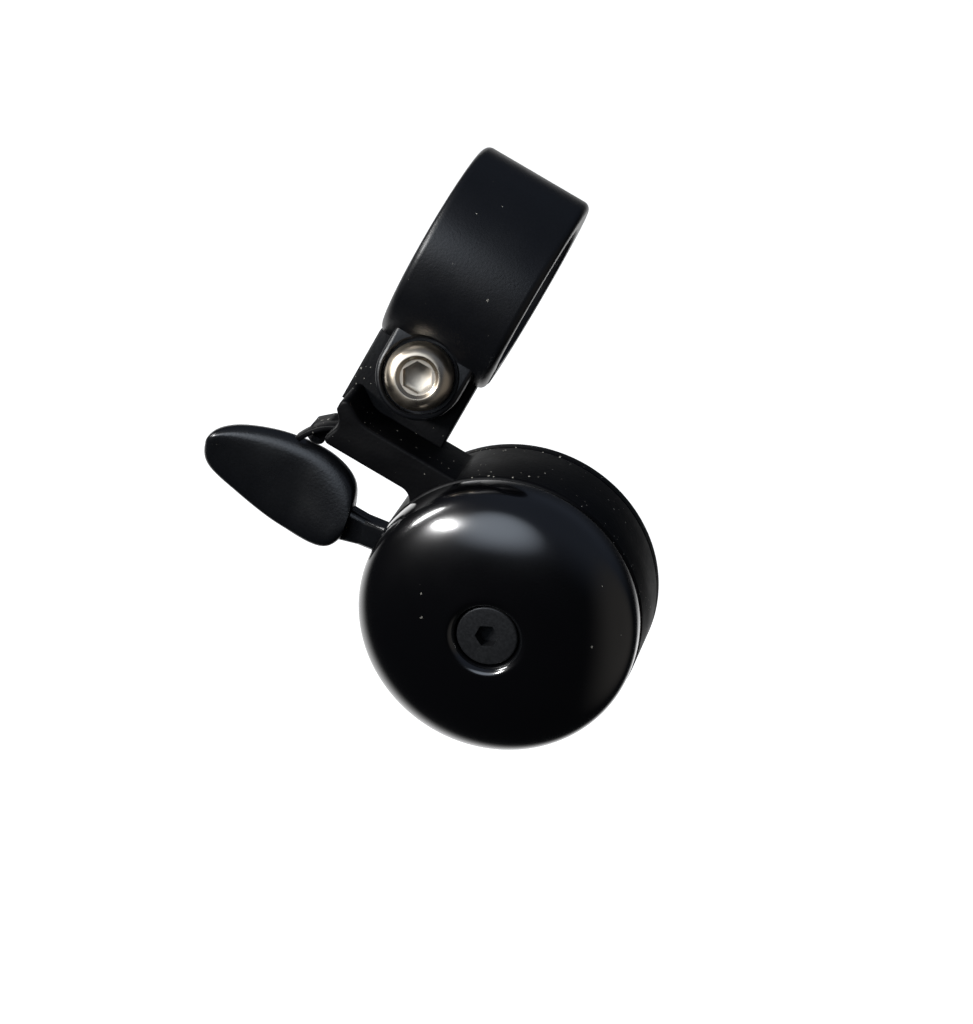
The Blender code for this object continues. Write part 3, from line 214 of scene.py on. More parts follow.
# The paddle's outline, as shares of its length from the neck and of its width from the lever's middle line,
# where minus is the upper edge
PADDLE_SHAPE = (
    (0.00, 0.08), (0.05, -0.30), (0.24, -0.49), (0.52, -0.52), (0.79, -0.43), (0.95, -0.28),
    (0.995, -0.09), (0.94, 0.13), (0.72, 0.29), (0.42, 0.44), (0.14, 0.48), (0.03, 0.35),
)

PRESS = next(joint for joint in frame["joints"] if joint["name"] == "lever_press")
TRAVEL = math.radians(PRESS["range_deg"][1])
BELL_PLACE = Vector((middle("bell_dome", 0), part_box("bell_dome")[1].y, middle("bell_dome", 2)))
FRONT_VIEW = Matrix.Rotation(math.pi / 2, 4, "X")
BELL = Matrix.Translation(BELL_PLACE) @ FRONT_VIEW
# In the bell's frame: the lever's axis, its middle plane and the plane of the spring's first turn
PIVOT = Vector((PRESS["pos_m"][0] - BELL_PLACE.x, PRESS["pos_m"][2] - BELL_PLACE.z))
LEVER_PLANE = -6.5 * MM
SPRING_FOOT = -3.8 * MM


# Shapes


def polar(radius, turn):
    return Vector((radius * math.cos(turn), radius * math.sin(turn)))


def arc(centre, radius, start, end, steps):
    return [Vector(centre) + polar(radius, start + (end - start) * i / steps) for i in range(steps + 1)]


def hexagon(flats):
    return [polar(flats / math.sqrt(3), math.tau * i / 6) for i in range(6)]


def oblong(left, low, right, high):
    return [(left, low), (right, low), (right, high), (left, high)]


def rounded(corners, steps=5, closed=True):
    """An outline through corners of x, y and a radius, with an arc at each corner that has a radius."""
    outline = []
    for i, (x, y, radius) in enumerate(corners):
        here = Vector((x, y))
        if not radius or not closed and i in (0, len(corners) - 1):
            outline.append(here)
            continue
        back = (Vector(corners[i - 1][:2]) - here).normalized()
        onward = (Vector(corners[(i + 1) % len(corners)][:2]) - here).normalized()
        half = back.angle(onward) / 2
        centre = here + (back + onward).normalized() * (radius / math.sin(half))
        first = here + back * (radius / math.tan(half)) - centre
        last = here + onward * (radius / math.tan(half)) - centre
        sweep = first.angle_signed(last)
        outline += [centre + Matrix.Rotation(-sweep * k / steps, 2) @ first for k in range(steps + 1)]
    return outline


def bow(start, bend, end, t):
    """A point on the curve that leaves start towards bend and comes to end from there."""
    return start * (1 - t) ** 2 + bend * (2 * t * (1 - t)) + end * t**2


def smooth_loop(points, steps):
    """A closed Catmull-Rom curve through a few points."""
    curve = []
    count = len(points)
    for i in range(count):
        before, here, after, beyond = (Vector(points[(i + k) % count]) for k in (-1, 0, 1, 2))
        for step in range(steps):
            t = step / steps
            curve.append(
                here
                + (after - before) * (t / 2)
                + (before * 2 - here * 5 + after * 4 - beyond) * (t * t / 2)
                + (here * 3 - before - after * 3 + beyond) * (t**3 / 2)
            )
    return curve


def prism(outline, low, high, edge=0.0, segments=4):
    """An outline in x and y, drawn out from z low to high, with its rims rounded by edge."""
    shape = bmesh.new()
    face = shape.faces.new([shape.verts.new((p[0], p[1], low)) for p in outline])
    drawn = bmesh.ops.extrude_face_region(shape, geom=[face])["geom"]
    raised = [item for item in drawn if isinstance(item, bmesh.types.BMVert)]
    bmesh.ops.translate(shape, verts=raised, vec=(0, 0, high - low))
    bmesh.ops.recalc_face_normals(shape, faces=shape.faces)
    if edge:
        rims = [e for e in shape.edges if abs(e.verts[0].co.z - e.verts[1].co.z) < (high - low) / 2]
        bmesh.ops.bevel(
            shape, geom=rims, offset=edge, segments=segments, profile=0.5, affect="EDGES", material=-1
        )
    return shape


def turn(profile, steps=SMALL_STEPS):
    """A profile of radius and z, spun about the z axis. It is closed, or it starts and ends on the axis."""
    shape = bmesh.new()
    verts = [shape.verts.new((p[0], 0, p[1])) for p in profile]
    edges = [shape.edges.new(pair) for pair in zip(verts, verts[1:])]
    if profile[0][0] > 0:
        edges.append(shape.edges.new((verts[-1], verts[0])))
    bmesh.ops.spin(
        shape, geom=verts + edges, cent=(0, 0, 0), axis=(0, 0, 1), angle=math.tau, steps=steps, use_merge=True
    )
    bmesh.ops.remove_doubles(shape, verts=shape.verts, dist=WELD)
    bmesh.ops.recalc_face_normals(shape, faces=shape.faces)
    return shape


def lathe(corners, steps=SMALL_STEPS, arc_steps=5):
    """A solid spun from corners of radius, z and rounding, from the axis and back to it."""
    return turn(rounded(corners, arc_steps, closed=False), steps)


def rod(radius, low, high, steps=SMALL_STEPS):
    return turn([(0, low), (radius, low), (radius, high), (0, high)], steps)


def placed(shape, matrix):
    bmesh.ops.transform(shape, matrix=matrix, verts=shape.verts)
    return shape


def at(x, y):
    return Matrix.Translation((x, y, 0))


def link(name, shape, collection=None):
    """An object of a bmesh, at the origin, in the scene or in a collection."""
    mesh = bpy.data.meshes.new(name)
    shape.to_mesh(mesh)
    shape.free()
    made = bpy.data.objects.new(name, mesh)
    (collection or bpy.context.scene.collection).objects.link(made)
    return made


def carve(shape, operation, *tools):
    """Joins tools to a shape, or cuts or keeps what they share with it, in one exact Boolean."""
    body = link("carved", shape)
    group = bpy.data.collections.new("tools")
    bpy.context.scene.collection.children.link(group)
    helpers = [link("tool", tool, group) for tool in tools]
    modifier = body.modifiers.new("carve", "BOOLEAN")
    modifier.operation = operation
    modifier.solver = "EXACT"
    modifier.operand_type = "COLLECTION"
    modifier.collection = group
    evaluated = body.evaluated_get(bpy.context.evaluated_depsgraph_get())
    result = bmesh.new()
    result.from_mesh(evaluated.to_mesh())
    evaluated.to_mesh_clear()
    for helper in (body, *helpers):
        bpy.data.meshes.remove(helper.data)
    bpy.data.collections.remove(group)
    return result


def piece(name, shape, material, node, body="base"):
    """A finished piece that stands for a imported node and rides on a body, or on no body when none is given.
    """
    made = link(name, shape)
    made.data.shade_smooth()
    made.data.set_sharp_from_angle(angle=SHARP_ANGLE)
    made.data.materials.append(material)
    if body:
        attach(made, body)
    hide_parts(node)
    return made


def dress(material, *nodes):
    """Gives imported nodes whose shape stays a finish."""
    for name in nodes:
        node = frame["nodes"][name]
        node.data.materials.clear()
        node.data.materials.append(material)


# Finishes


def feed(node, inputs):
    """Fills a node's inputs: each is a value, an output to link, or a node whose first output is linked."""
    for name, value in inputs.items():
        if isinstance(value, bpy.types.Node):
            value = next(output for output in value.outputs if output.enabled)
        if isinstance(value, bpy.types.NodeSocket):
            node.id_data.links.new(value, node.inputs[name])
        else:
            node.inputs[name].default_value = value
    return node


def add_node(owner, kind, inputs, **settings):
    """Adds a shader node to a material or the world, with its own settings and its inputs."""
    node = owner.node_tree.nodes.new("ShaderNode" + kind)
    for name, value in settings.items():
        setattr(node, name, value)
    return feed(node, inputs)


def per_metre(size):
    """The scale of a pattern whose cells are this wide."""
    return 1 / size


def new_finish(name, sockets, *grains):
    """A material, its shader with the values that are the same all over, and its Object coordinates.

    A noise follows for each grain, which is the width of its cells and how much finer detail they have.
    """
    material = bpy.data.materials.new(name)
    material.use_nodes = True
    shader = feed(material.node_tree.nodes["Principled BSDF"], sockets)
    place = add_node(material, "TexCoord", {}).outputs["Object"]
    return material, shader, place, *(
        add_node(material, "TexNoise", {"Vector": place, "Scale": per_metre(size), "Detail": detail})
        for size, detail in grains
    )


def mottled(material, base, dark, pale, pattern):
    """A base colour that goes from darker to paler, by these factors, with a pattern."""
    low, high = (tuple(part * factor for part in base[:3]) + (1.0,) for factor in (dark, pale))
    return add_node(material, "Mix", {"Factor": pattern, "A": low, "B": high}, data_type="RGBA")


def dusted(material, place, under, dust, spacing, share):
    """A colour under specks of dust: ragged, of several sizes, thicker in patches and on what faces up."""
    ragged = add_node(
        material, "TexNoise", {"Vector": place, "Scale": per_metre(spacing / 2), "Detail": 1.0}
    ).outputs["Color"]
    strayed = add_node(
        material, "VectorMath", {0: ragged, 1: [spacing] * 3, 2: place}, operation="MULTIPLY_ADD"
    )
    specks = add_node(material, "TexVoronoi", {"Vector": strayed, "Scale": per_metre(spacing)})
    chance = add_node(material, "SeparateColor", {"Color": specks.outputs["Color"]})
    patches = add_node(material, "TexNoise", {"Vector": place, "Scale": per_metre(6 * MM), "Detail": 2.0})
    bound = add_node(material, "MapRange", {
        "Value": patches, "From Min": 0.36, "From Max": 0.66, "To Min": 1.0, "To Max": 1 - 2 * share,
    })
    size = add_node(
        material, "MapRange", {"Value": chance, "From Min": bound, "From Max": 1.0, "To Max": 0.22}
    )
    speck = add_node(material, "Math", {0: specks, 1: size}, operation="LESS_THAN")
    facing = add_node(material, "NewGeometry", {}).outputs["Normal"]
    upward = add_node(material, "SeparateXYZ", {"Vector": facing}).outputs["Z"]
    lying = add_node(material, "MapRange", {"Value": upward, "From Min": -0.3, "From Max": 0.8})
    mask = add_node(material, "Math", {0: speck, 1: lying}, operation="MULTIPLY")
    return add_node(material, "Mix", {"Factor": mask, "A": under, "B": dust}, data_type="RGBA")


def surfaced(material, shader, tint, cloud, polish, relief, strength, depth):
    """Links a finish: its tint, a roughness that follows the cloud between two values, and its relief."""
    rough = add_node(material, "MapRange", {
        "Value": cloud, "From Min": 0.3, "From Max": 0.7, "To Min": polish[0], "To Max": polish[1],
    })
    bump = add_node(material, "Bump", {"Height": relief, "Strength": strength, "Distance": depth})
    feed(shader, {"Base Color": tint, "Roughness": rough, "Normal": bump})
    return material


def shared(make):
    """Makes a finish, named like its function, when the first piece asks for it. Later ones get the same."""
    name = make.__name__
    return lambda scene: bpy.data.materials.get(name) or make(name, scene.bell_finishes)


@shared
def black_stoving_enamel(name, look):
    """Stoving enamel, sprayed on steel. It gives a deep gloss with a faint orange peel and a little dust."""
    material, shader, place, cloud, peel = new_finish(name, {
        "Base Color": look.enamel, "Roughness": 0.22, "Coat Weight": 0.75, "Coat Roughness": 0.07,
    }, (9 * MM, 4), (1.4 * MM, 1))
    tint = dusted(material, place, look.enamel, look.dust, 0.8 * MM, 0.012)
    return surfaced(material, shader, tint, cloud, (0.18, 0.22), peel, 0.12, 0.02 * MM)


def grained_black(name, look, base, grain, depth, polish, specular, dust_share):
    """Shared by the black mouldings and coatings: fine grain, patches of polish and dust on what faces up."""
    sockets = {"Base Color": base, "Roughness": polish[1], "Specular IOR Level": specular}
    material, shader, place, pits, patches = new_finish(name, sockets, (grain, 3), (6 * MM, 5))
    speckled = mottled(material, base, 0.6, 1.5, pits)
    tint = dusted(material, place, speckled, look.dust, 0.6 * MM, dust_share)
    return surfaced(material, shader, tint, patches, polish, pits, 0.5, depth)


@shared
def black_powder_coated_aluminium(name, look):
    """Black powder coating on cast aluminium. It gives a soft sheen over a fine even grain."""
    # The real grain is near 0.1 mm and is drawn coarser, so that it shows.
    return grained_black(name, look, look.coating, 0.35 * MM, 0.04 * MM, (0.34, 0.41), 0.36, 0.02)


@shared
def spark_grained_nylon(name, look):
    """Black glass-filled nylon from a spark-eroded mould. It gives a matt, mottled grain that holds dust."""
    return grained_black(name, look, look.nylon, 0.5 * MM, 0.06 * MM, (0.42, 0.56), 0.12, 0.22)


@shared
def satin_moulded_abs(name, look):
    """Black ABS from a satin mould, polished a little by the thumb. It gives a smooth satin sheen."""
    return grained_black(name, look, look.plastic, 0.4 * MM, 0.04 * MM, (0.23, 0.3), 0.5, 0.01)


def turned_metal(name, base, roughness, line, centre=BELL_PLACE, tilt=0.0):
    """Shared by the turned and plated metals: rings from the tool about an axis, and uneven polish."""
    sockets = {"Base Color": base, "Roughness": roughness, "Metallic": 1.0}
    material, shader, place, patches = new_finish(name, sockets, (2.5 * MM, 4))
    laid = add_node(
        material, "Mapping", {"Vector": place, "Location": centre, "Rotation": (math.pi / 2 - tilt, 0, 0)},
        vector_type="TEXTURE",
    )
    rings = add_node(
        material, "TexWave",
        {"Vector": laid, "Scale": per_metre(line) / WAVE_RATE, "Distortion": 1.5, "Detail": 2.0},
        wave_type="RINGS", rings_direction="Z",
    ).outputs["Fac"]
    tint = mottled(material, base, 0.8, 1, patches)
    polish = roughness * 0.8, roughness * 1.3
    return surfaced(material, shader, tint, patches, polish, rings, 0.25, 0.01 * MM)


@shared
def turned_stainless_steel(name, look):
    """Stainless steel, cold headed and turned. It gives a bright warm shine with rings about the bolt."""
    clamp = bpy.context.scene.bell_clamp
    centre = Matrix.Rotation(math.pi / 2 - clamp.lean, 3, "X") @ Vector((0, -clamp.bolt_drop, 0))
    return turned_metal(name, look.stainless, 0.32, 0.25 * MM, centre, clamp.lean)


@shared
def bright_zinc_plated_steel(name, look):
    """Bright zinc plate on turned steel. It gives a cool, slightly cloudy shine."""
    return turned_metal(name, look.zinc, 0.28, 0.3 * MM)


@shared
def blackened_machined_steel(name, look):
    """Black oxide on a machined screw. It gives a dull dark grey with a fine sandy grain."""
    sockets = {"Base Color": look.oxide, "Roughness": 0.5, "Metallic": 0.75}
    material, shader, _, sand = new_finish(name, sockets, (0.3 * MM, 3))
    tint = mottled(material, look.oxide, 0.7, 1, sand)
    return surfaced(material, shader, tint, sand, (0.42, 0.58), sand, 0.4, 0.03 * MM)


@shared
def drawn_spring_steel(name, look):
    """Drawn spring steel. It gives a grey sheen with fine lines and a trace of oil."""
    return turned_metal(name, look.steel, 0.32, 0.3 * MM)


@shared
def turned_brass(name, look):
    """Turned brass. It gives a warm shine that has dulled a little."""
    return turned_metal(name, look.brass, 0.26, 0.25 * MM)


@shared
def black_moulded_rubber(name, look):
    """Black rubber, moulded. It gives a dull surface with a pale bloom in patches."""
    sockets = {"Base Color": look.rubber, "Roughness": 0.8}
    material, shader, _, bloom = new_finish(name, sockets, (0.9 * MM, 4))
    rough = add_node(material, "MapRange", {"Value": bloom, "To Min": 0.7, "To Max": 0.92})
    feed(shader, {"Base Color": mottled(material, look.rubber, 1, 2.2, bloom), "Roughness": rough})
    return material


# Pieces


def clamp_place(clamp):
    return Matrix.Rotation(math.pi / 2 - clamp.lean, 4, "X")


def bolt_place(clamp):
    return clamp_place(clamp) @ at(0, -clamp.bolt_drop)


def tab(half_width, top, centre):
    """A strip that runs down from y = top to a round end about y = centre."""
    return [(half_width, top), (-half_width, top)] + arc((0, centre), half_width, math.pi, math.tau, 32)


def band_shape(clamp):
    """The split ring with an ear on each side of the split, drawn in the clamp's frame."""
    inner = clamp.band_bore / 2
    outer = inner + clamp.band_wall
    half = clamp.band_width / 2
    edge, inner_edge, ear_edge = clamp.band_round, 0.3 * MM, 0.6 * MM
    profile = rounded(
        [(inner, -half, inner_edge), (outer, -half, edge), (outer, half, edge), (inner, half, inner_edge)], 6
    )
    ring = placed(turn(profile, ROUND_STEPS), Matrix.Rotation(math.pi / 2, 4, "Y"))
    ear = tab(clamp.ear_radius, -(inner + clamp.band_wall / 4), -clamp.bolt_drop)
    band = carve(ring, "UNION", prism(ear, -clamp.ear_rear, clamp.ear_front, ear_edge))
    far = outer * 2
    slit = prism(oblong(-far, -far, far, 0), -clamp.split / 2, clamp.split / 2)
    mouth, radius = 0.25 * MM, clamp.seat_radius
    seat = turn([
        (0, clamp.seat), (radius, clamp.seat), (radius, clamp.ear_front - mouth),
        (radius + 2 * mouth, clamp.ear_front + mouth), (radius + 2 * mouth, far), (0, far),
    ], ROUND_STEPS // 2)
    nut_room = rod(clamp.nut / math.sqrt(3) + 0.55 * MM, -far, -clamp.ear_rear - FIT / 2)
    bore = rod(clamp.bolt_diameter / 2 + FIT, -far, far)
    drop = at(0, -clamp.bolt_drop)
    return carve(band, "DIFFERENCE", slit, *(placed(tool, drop) for tool in (seat, nut_room, bore)))


def bolt_shape(clamp):
    """Button-head bolt, drawn on its own axis: crown, round mouth and hexagon socket with a drilled foot."""
    low = clamp.seat + 2 * FIT + clamp.washer
    high = low + clamp.head_height
    head = clamp.head_diameter / 2
    mouth = clamp.mouth_diameter / 2
    shank = clamp.bolt_diameter / 2
    tail = -clamp.ear_rear - FIT - clamp.nut_height - 0.8 * MM
    skirt = low + 0.9 * MM
    crown = [
        (mouth + (head - mouth) * math.cos(t), skirt + (high - skirt) * math.sin(t), 0)
        for t in (math.pi / 2 * i / 14 for i in range(14))
    ]
    step = high - 0.5 * MM
    bolt = lathe([
        (0, tail, 0), (shank, tail, 0.5 * MM), (shank, low, 0.15 * MM), (head, low, 0.2 * MM), *crown,
        (mouth, high, 0.12 * MM), (mouth - 0.5 * MM, step, 0.1 * MM), (0, step, 0),
    ], HEAD_STEPS, arc_steps=4)
    depth = step - 2.2 * MM
    socket = prism(hexagon(clamp.socket), depth, high)
    brim = depth + 0.2 * MM
    drilled = turn([(0, depth - 0.7 * MM), (clamp.socket / 2, brim), (0, brim)])
    return carve(bolt, "DIFFERENCE", carve(socket, "UNION", drilled))


def washer_shape(clamp):
    low = clamp.seat + FIT
    inner, outer, edge = clamp.bolt_diameter / 2 + FIT, clamp.head_diameter / 2, 0.15 * MM
    outline = oblong(inner, low, outer, low + clamp.washer)
    return turn(rounded([(*corner, edge) for corner in outline], 3))


def nut_shape(clamp):
    """Hexagon nut with both faces chamfered to a circle."""
    high = -clamp.ear_rear - FIT
    low = high - clamp.nut_height
    flats, corners = clamp.nut / 2, clamp.nut / math.sqrt(3)
    slope = (corners - flats) * math.tan(math.radians(30)) + 0.15 * MM
    face, widest = flats * 0.97, corners * 1.02
    bevelled = turn([
        (0, low), (face, low), (widest, low + slope), (widest, high - slope), (face, high), (0, high),
    ], HEAD_STEPS)
    block = carve(prism(hexagon(clamp.nut), low, high), "INTERSECT", bevelled)
    bore, sink = clamp.bolt_diameter / 2 + FIT, 0.4 * MM
    hole = turn([
        (0, low - sink), (bore + 2 * sink, low - sink), (bore, low + sink), (bore, high - sink),
        (bore + 2 * sink, high + sink), (0, high + sink),
    ])
    return carve(block, "DIFFERENCE", hole)


def bell_depths(bell):
    """Where the housing and its cover start and end, along z of the bell's frame. The seam shows no light."""
    front = -bell.rim_gap
    back = front - bell.housing_depth
    return front, back, back - SEAM, back - FIT - bell.cover


def ear_end(clamp):
    """How far down the ears reach from the bore's axis, as a level. The arm's top has the same one."""
    return -(clamp.bolt_drop + clamp.ear_radius)


def arm_root(bell, level, fillet, side):
    """The fillet by which the arm's edge at this level runs into the housing, then a point well inside."""
    outer = bell.housing_diameter / 2
    height = level + side * fillet - BELL_PLACE.z
    reach = outer - 0.4 * MM + fillet
    hub = Vector((-math.sqrt(reach**2 - height**2), height))
    blend = arc(hub, fillet, -side * math.pi / 2, math.atan2(-hub.y, -hub.x), 10)
    centre = Vector((BELL_PLACE.x, BELL_PLACE.z))
    return [centre + point for point in blend + [hub.normalized() * (outer / 2)]]


def arm_outline(bell, clamp):
    """The arm from the front, in x and z of the world: it rises at its left end and roots in the housing."""
    top = ear_end(clamp)
    left = rounded([
        (0, top, 0), (-3.4 * MM, top, 4 * MM), (-7.7 * MM, top + 2.7 * MM, 0.9 * MM), (-7.7 * MM, top, 0),
        (-6.2 * MM, top - 1.8 * MM, 2 * MM), (-7.6 * MM, top - bell.arm, 0.8 * MM), (0, top - bell.arm, 0),
    ], 6, closed=False)
    under = arm_root(bell, top - bell.arm, bell.under_fillet, -1)
    return left + under + arm_root(bell, top, bell.arm_fillet, 1)[::-1]


def hook_outline(bell, clamp):
    """The stop hook, in x and z of the world: a crescent from the arm's left end to the paddle's top edge."""
    level = ear_end(clamp) - bell.arm
    start, bend, end = (
        Vector((x * MM, level + z * MM)) for x, z in ((-5.7, 1.8), (-9.05, 0.65), (-10.85, -3.3))
    )
    inner, outer = [], []
    steps = 16
    for t in (i / steps for i in range(steps + 1)):
        point = bow(start, bend, end, t)
        run = (bend - start) * (1 - t) + (end - bend) * t
        aside = Vector((-run.y, run.x)).normalized() * (bell.hook / 2)
        inner.append(point + aside)
        outer.append(point - aside)
    return inner + outer[::-1]


def pad_outline(bell, clamp):
    """The bracket behind the hook, in x and z of the world: from under the arm to a pad on the bumper."""
    low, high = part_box("stop_bumper")
    level = ear_end(clamp) - bell.arm
    under, top, right = high.z + FIT, level + 0.9 * MM, -5.4 * MM
    return rounded([
        (right, top, 0), (high.x - 0.5 * MM, top, 0.9 * MM), (low.x, under + bell.pad, 0.5 * MM),
        (low.x, under, 0), (high.x, under, 0.4 * MM), (right, level - 0.5 * MM, 0),
    ])


def neck_crossing(lever, below, turn_by, radius):
    """The bell angle at which a line along the neck, this far below its middle line, crosses a circle."""
    along = polar(1, lever.paddle_angle + turn_by)
    start = PIVOT + Vector((-along.y, along.x)) * below
    half = start.dot(along)
    run = -half + math.sqrt(half**2 - start.length_squared + radius**2)
    place = start + along * run
    return math.atan2(place.y, place.x) % math.tau


def lever_slot(bell, lever):
    """The slot in the housing's wall over the whole swing of the lever's neck, open to the front."""
    outer = bell.housing_diameter / 2
    inner = outer - bell.housing_wall
    room = 0.6 * MM
    slack = room / inner
    first = min(neck_crossing(lever, 0, 0, radius) for radius in (inner, outer)) - slack
    last = neck_crossing(lever, lever.neck_width, TRAVEL, outer) + slack
    outline = arc((0, 0), inner - bell.housing_wall, last, first, 12)
    outline += arc((0, 0), outer + bell.housing_wall, first, last, 12)
    return prism(outline, LEVER_PLANE - lever.neck_thickness / 2 - room, bell.rim_gap)


def on_bell(node):
    """The shift, in the bell's frame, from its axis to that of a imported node."""
    return at(middle(node, 0) - BELL_PLACE.x, middle(node, 2) - BELL_PLACE.z)


COVER_SCREWS = [on_bell(f"cover_screw_{number}") for number in (1, 2, 3)]
COVER_SCREW_BORE = 1.4 * MM


def housing_shape(bell, clamp, lever):
    """Housing ring, arm, tongue and stop hook as one moulding, drawn in the world."""
    front, back, _, _ = bell_depths(bell)
    outer = bell.housing_diameter / 2
    inner = outer - bell.housing_wall
    profile = rounded([
        (inner, back, 0), (outer, back, 0.25 * MM), (outer, front, bell.housing_round),
        (inner, front, 0.2 * MM),
    ])
    ring = placed(turn(profile, ROUND_STEPS), BELL)
    rim = -BELL_PLACE.y
    arm = prism(arm_outline(bell, clamp), rim + back + 1.2 * MM, rim + front - 0.5 * MM, bell.arm_round)
    inside = placed(rod((outer + inner) / 2, back * 2, bell.gong_height, ROUND_STEPS), BELL)
    arm = carve(placed(arm, FRONT_VIEW), "DIFFERENCE", inside)
    depth, half, thin_edge = -middle("stop_bumper", 1), bell.pad_width / 2, 0.25 * MM
    pad = prism(pad_outline(bell, clamp), depth - half, depth + half, thin_edge, segments=3)
    clear = -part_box("stop_bumper")[0].y + FIT
    hook = prism(hook_outline(bell, clamp), clear, clear + bell.hook_width, thin_edge, segments=3)
    left, right, corner = -8.4 * MM, 7.4 * MM, 2.5 * MM
    crest = -(clamp.band_bore / 2 + 1.4 * MM)
    foot = ear_end(clamp) - 2.6 * MM
    tongue_half = clamp.split / 2 - FIT
    tongue = rounded([(left, foot, 0), (right, foot, 0), (right, crest, corner), (left, crest, corner)], 8)
    tongue = prism(tongue, -tongue_half, tongue_half, thin_edge, segments=3)
    boss, boss_foot, boss_top, hole_top = 2.5 * MM, back + 0.2 * MM, back + 3.3 * MM, back + 2.9 * MM
    bosses = [placed(rod(boss, boss_foot, boss_top, steps=40), BELL @ spot) for spot in COVER_SCREWS]
    moulding = carve(
        arm, "UNION", ring, placed(hook, FRONT_VIEW), placed(pad, FRONT_VIEW),
        placed(tongue, clamp_place(clamp)), *bosses,
    )
    face = tongue_half - 0.1 * MM
    pocket = tab(clamp.ear_radius + FIT, clamp.band_bore, -clamp.bolt_drop)
    holes = [
        placed(rod(COVER_SCREW_BORE, back * 2, hole_top, steps=32), BELL @ spot) for spot in COVER_SCREWS
    ]
    return carve(
        moulding, "DIFFERENCE",
        placed(prism(pocket, face, clamp.ear_front * 3), clamp_place(clamp)),
        placed(prism(pocket, -clamp.ear_rear * 3, -face), clamp_place(clamp)),
        placed(rod(clamp.bolt_diameter / 2 + FIT, -clamp.ear_rear, clamp.ear_front), bolt_place(clamp)),
        placed(lever_slot(bell, lever), BELL),
        *holes,
    )


def cover_shape(bell):
    """The round plate behind the housing, with countersinks for its screws and bosses for the pivot pins."""
    _, _, front, back = bell_depths(bell)
    radius = bell.housing_diameter / 2
    edge = 0.2 * MM
    plate = lathe(
        [(0, back, 0), (radius, back, bell.cover_round), (radius, front, edge), (0, front, 0)], ROUND_STEPS
    )
    post_hole, pin_depth = 2.8 * MM, 1.3 * MM
    bosses, holes = [], [rod(post_hole, back * 2, 0)]
    for pin, boss, hole, top in (("lever_pin", 4.8, 1.9, -8.8), ("hammer_pin", 3.35, 1.55, -8.2)):
        bosses.append(placed(rod(boss * MM, (front + back) / 2, top * MM), on_bell(pin)))
        holes.append(placed(rod(hole * MM, front - pin_depth, 0), on_bell(pin)))
    mouth, bore = 2.62 * MM, COVER_SCREW_BORE
    drop = mouth - bore
    for spot in COVER_SCREWS:
        sink = turn([(0, back - drop), (mouth + drop, back - drop), (bore, back + drop), (bore, 0), (0, 0)])
        holes.append(placed(sink, spot))
    return placed(carve(carve(plate, "UNION", *bosses), "DIFFERENCE", *holes), BELL)


def cover_screw_shape(bell):
    """Countersunk screw with a slot, drawn on its own axis."""
    _, housing_back, _, back = bell_depths(bell)
    head, shank, tip = 2.2 * MM, 1.1 * MM, housing_back + 2.6 * MM
    screw = lathe([
        (0, back, 0), (head, back, 0.12 * MM), (shank, back + head - shank, 0), (shank, tip, 0.3 * MM),
        (0, tip, 0),
    ], steps=48, arc_steps=3)
    half = 0.3 * MM
    slot = prism(oblong(-head * 2, -half, head * 2, half), back - head, back + 0.8 * MM)
    return carve(screw, "DIFFERENCE", slot)


def gong_curve(bell, radius, height, steps, last_radius):
    """From the skirt's top to last_radius, on a superellipse: points of radius and z."""
    power = 2 / bell.gong_fullness
    end = math.acos((last_radius / radius) ** (1 / power))
    return [
        (radius * math.cos(t) ** power, bell.gong_skirt + height * math.sin(t) ** power)
        for t in (end * i / steps for i in range(steps + 1))
    ]


# Height of the straight edge round the gong screw's head
SCREW_LAND = 0.4 * MM


def gong_shape(bell):
    """The gong: a turned shell with a rolled crown, a dish for its screw and a rounded rim."""
    radius, wall = bell.gong_diameter / 2, bell.gong_wall
    rise = bell.gong_height - bell.gong_skirt
    offset = FIT * math.sqrt(2)
    seat_top = bell.screw_head / 2 + bell.screw_room
    hole = 2.8 * MM
    bottom = bell.gong_height - bell.screw_sink - SCREW_LAND - bell.screw_head / 2 + hole - offset
    seat_edge = seat_top + bottom - hole
    lip = seat_top + bell.crown_roll
    outside = gong_curve(bell, radius, rise, 40, lip)
    drop = outside[-1][1] - seat_edge
    steps = 12
    dish = [
        (lip - bell.crown_roll * math.sin(t), seat_edge + drop * math.cos(t))
        for t in (math.pi / 2 * i / steps for i in range(1, steps + 1))
    ]
    under = bottom - wall
    below = [
        (hole, bottom), (hole, under), (hole + wall * (math.sqrt(2) - 1), under),
        (seat_top + wall * 0.9, seat_edge - wall * 0.55),
    ]
    inside = gong_curve(bell, radius - wall, rise - wall, 30, seat_top + wall + 1.3 * MM)
    bead = 0.35 * MM
    inner = radius - wall
    rim = arc((inner + bead, bead), bead, math.pi, math.pi * 1.5, 5)
    rim += arc((radius - bead, bead), bead, -math.pi / 2, 0, 6)
    return placed(turn([tuple(p) for p in rim] + outside + dish + below + inside[::-1], GONG_STEPS), BELL)


def gong_screw_shape(bell):
    """Flat countersunk screw with a hexagon socket, in the gong's dish."""
    top = bell.gong_height - bell.screw_sink
    head, shank = bell.screw_head / 2, 2.5 * MM
    land, tip = top - SCREW_LAND, top - 12 * MM
    screw = lathe([
        (0, tip, 0), (shank, tip, 0.5 * MM), (shank, land - head + shank, 0.2 * MM),
        (head, land, 0.08 * MM), (head, top, 0.28 * MM), (0, top, 0),
    ], HEAD_STEPS)
    socket = prism(hexagon(bell.screw_socket), top - 2.0 * MM, top * 2)
    socket = placed(socket, Matrix.Rotation(math.pi / 6, 4, "Z"))
    return placed(carve(screw, "DIFFERENCE", socket), BELL)


